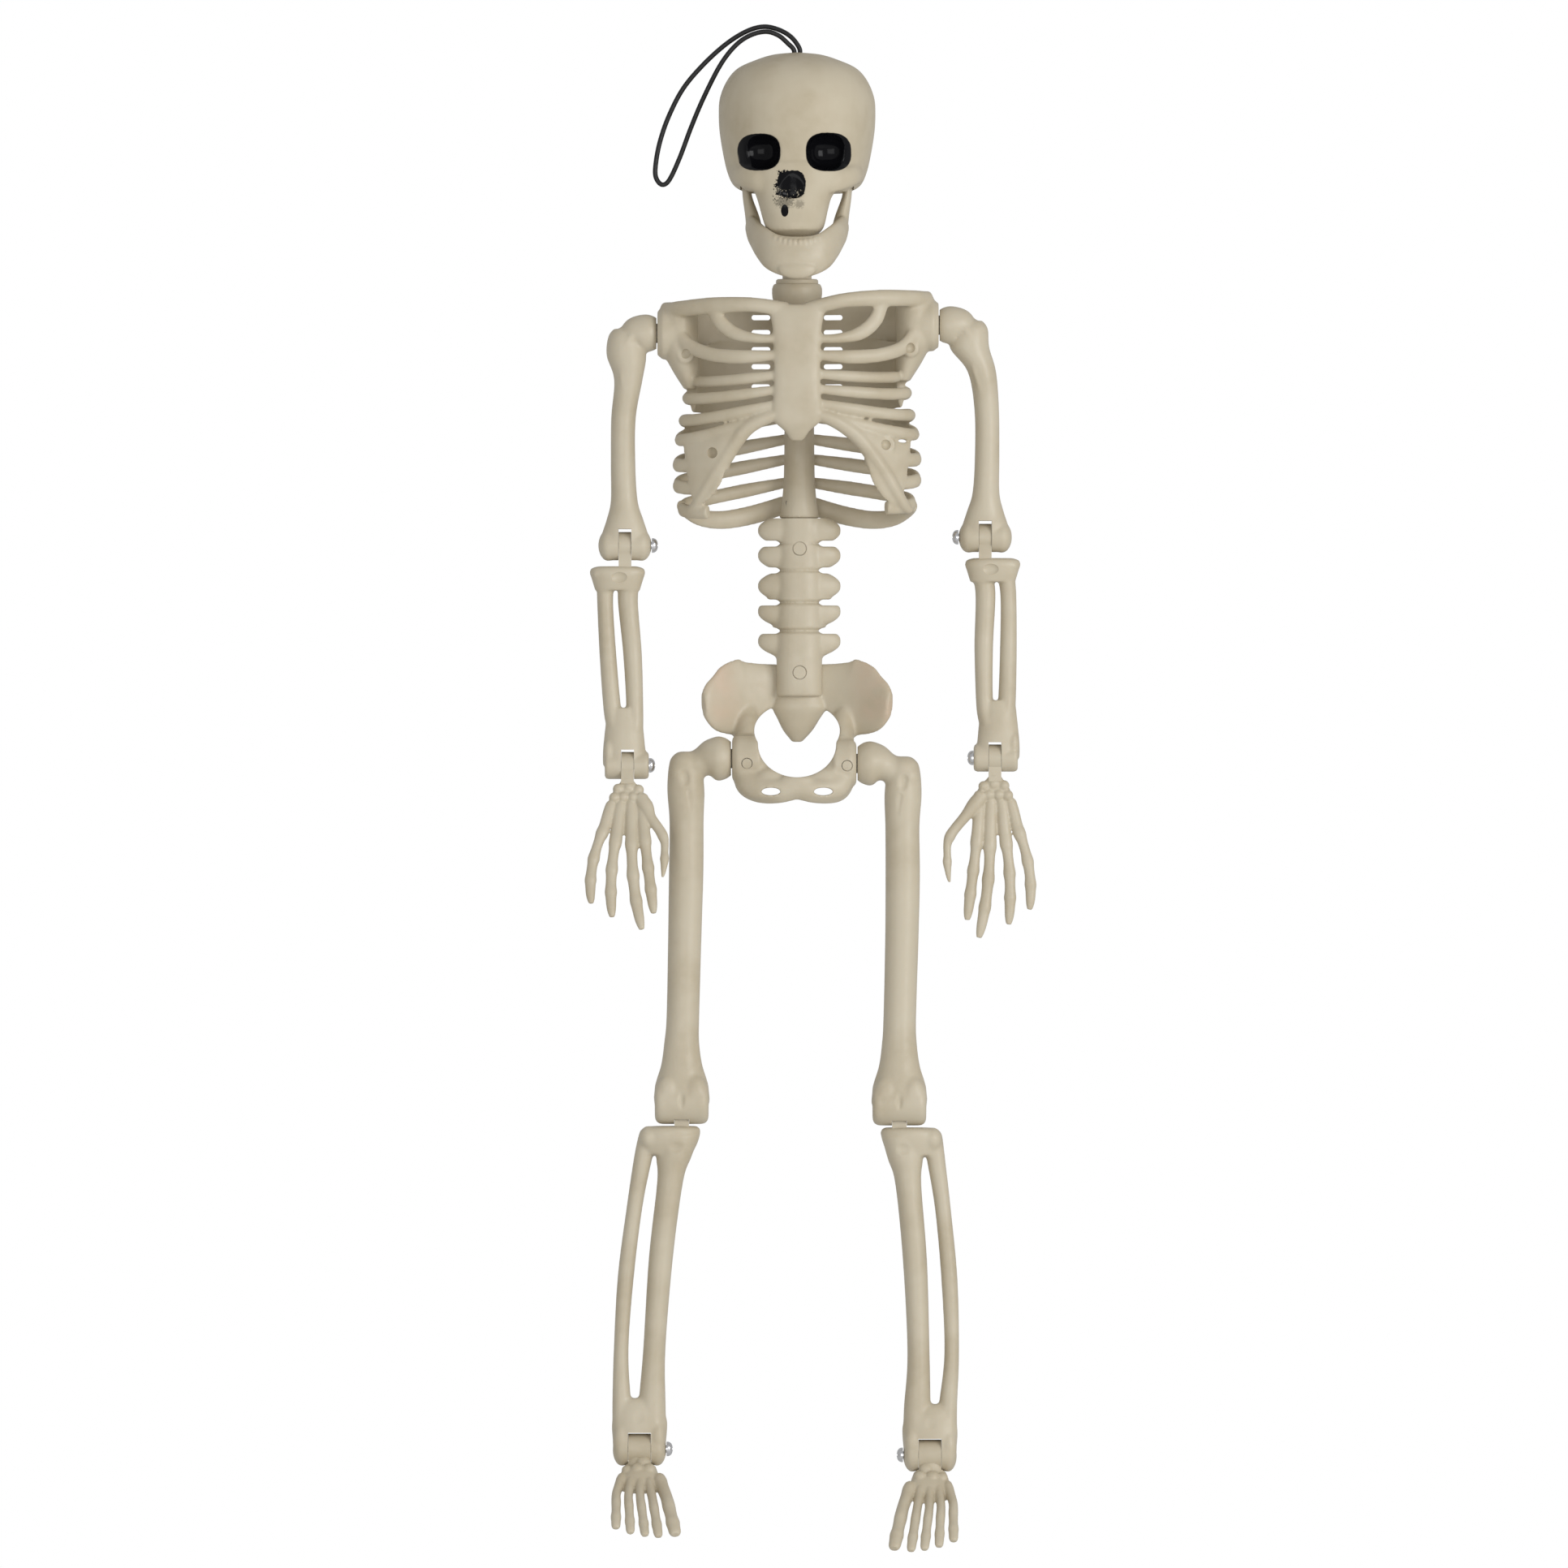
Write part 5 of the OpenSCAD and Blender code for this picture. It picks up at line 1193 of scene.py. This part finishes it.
def cord_material():
    """Black braided elastic."""
    n = Nodes("cord")
    weave = n.add("ShaderNodeTexWave", wave_type="BANDS", bands_direction="DIAGONAL", wave_profile="SIN")
    weave.inputs["Scale"].default_value = 0.9
    weave.inputs["Distortion"].default_value = 1.2
    weave.inputs["Detail"].default_value = 1.0
    n.link(n.place, weave.inputs["Vector"])
    return n.finish(n.colours(n.noise(2.0, 3), (0.003, 0.003, 0.0035), (0.007, 0.007, 0.008)),
                    n.between(n.noise(1.2, 3), 0.3, 0.7, 0.42, 0.6), weave.outputs["Fac"], 0.2, 0.04)


BONE_LOOK = bone_material()
SKULL_LOOK = painted_skull_material()
WING_LOOK = wing_material()
STEEL_LOOK = steel_material()
CORD_LOOK = cord_material()


# ---- The figure ----

def fit(piece, body, nodes, look):
    """Puts a finished piece on its body, in place of its CAD nodes."""
    piece.data.materials.clear()
    piece.data.materials.append(look)
    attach(piece, body)
    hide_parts(*nodes)


cord_piece, cord_exit, cord_length = hanging_cord()
fit(cord_piece, "head", ["hanging_cord"], CORD_LOOK)
fit(cord_knot(), "head", ["cord_knot"], CORD_LOOK)

core = ((skull(True), "head", "skull_front", SKULL_LOOK), (skull(False), "head", "skull_back", BONE_LOOK),
        (jaw_pins(), "head", "jaw_pins", STEEL_LOOK), (jaw(), "jaw", "jaw", BONE_LOOK),
        (neck(), "torso", "neck", BONE_LOOK), (ribcage_front(), "torso", "ribcage_front", BONE_LOOK),
        (ribcage_back(), "torso", "ribcage_back", BONE_LOOK),
        (lumbar_spine(), "torso", "lumbar_spine", BONE_LOOK),
        (pelvis(True), "torso", "pelvis_front", WING_LOOK),
        (pelvis(False), "torso", "pelvis_back", WING_LOOK))
for made, body, node, look in core:
    fit(made, body, [node], look)

for limb in SIDES:
    bones = ((humerus, "upper_arm_", "humerus_"), (forearm, "forearm_", "forearm_"), (hand, "hand_", "hand_"),
             (femur, "thigh_", "femur_"), (shin, "shin_", "shin_"), (foot, "foot_", "foot_"))
    for make, body, node in bones:
        fit(make(limb), body + limb, [node + limb], BONE_LOOK)
    screws = (("elbow", "upper_arm_", ELBOW, ELBOW_EAR, 13), ("wrist", "forearm_", WRIST, WRIST_EAR, 10.6),
              ("ankle", "shin_", ANKLE, ANKLE_EAR, 13.2))
    for name, body, places, ear, length in screws:
        screw = pivot_screw(name + "_pan_screw_" + limb, limb, places[limb], ear, length)
        fit(screw, body + limb, [name + "_screw_" + limb], STEEL_LOOK)
    fit(knee_pin(limb), "thigh_" + limb, ["knee_pin_" + limb], STEEL_LOOK)


# ---- Floor and light ----

def floor():
    radius, height, sides = 1.2, -0.6, 96
    angle = 2 * math.pi * np.arange(sides) / sides
    ring = np.stack([radius * np.cos(angle), radius * np.sin(angle), np.full(sides, height)], 1)
    mesh = bpy.data.meshes.new("floor")
    mesh.from_pydata(ring.tolist(), [], [tuple(range(sides))])
    disc = bpy.data.objects.new("floor", mesh)
    bpy.context.scene.collection.objects.link(disc)
    n = Nodes("floor_paint")
    n.link(n.colours(n.noise(0.002, 3), (0.8, 0.8, 0.79), (0.86, 0.86, 0.85)), n.shader.inputs["Base Color"])
    n.shader.inputs["Roughness"].default_value = 0.7
    disc.data.materials.append(n.material)


def area_light(name, at, target, size, power):
    data = bpy.data.lights.new(name, "AREA")
    data.shape = "SQUARE"
    data.size = size
    data.energy = power
    lamp = bpy.data.objects.new(name, data)
    bpy.context.scene.collection.objects.link(lamp)
    lamp.location = at
    lamp.rotation_euler = (Vector(target) - Vector(at)).to_track_quat("-Z", "Y").to_euler()


def studio():
    """A white backdrop to the camera, with softer light on the figure."""
    world = bpy.data.worlds.new("studio")
    bpy.context.scene.world = world
    world.use_nodes = True
    tree = world.node_tree
    tree.nodes.clear()
    output = tree.nodes.new("ShaderNodeOutputWorld")
    mix = tree.nodes.new("ShaderNodeMixShader")
    path = tree.nodes.new("ShaderNodeLightPath")
    lit = tree.nodes.new("ShaderNodeBackground")
    lit.inputs["Strength"].default_value = 0.5
    seen = tree.nodes.new("ShaderNodeBackground")
    seen.inputs["Strength"].default_value = 1.0
    for node in (lit, seen):
        node.inputs["Color"].default_value = (1, 1, 1, 1)
    tree.links.new(path.outputs["Is Camera Ray"], mix.inputs[0])
    tree.links.new(lit.outputs[0], mix.inputs[1])
    tree.links.new(seen.outputs[0], mix.inputs[2])
    tree.links.new(mix.outputs[0], output.inputs[0])
    middle = (0, 0, -0.2)
    area_light("key", (1.2, -1.4, 0.15), middle, 0.9, 15)
    area_light("fill", (-0.35, -2.0, -0.25), middle, 1.0, 7)
    bpy.context.scene.view_settings.view_transform = "Standard"


floor()
studio()
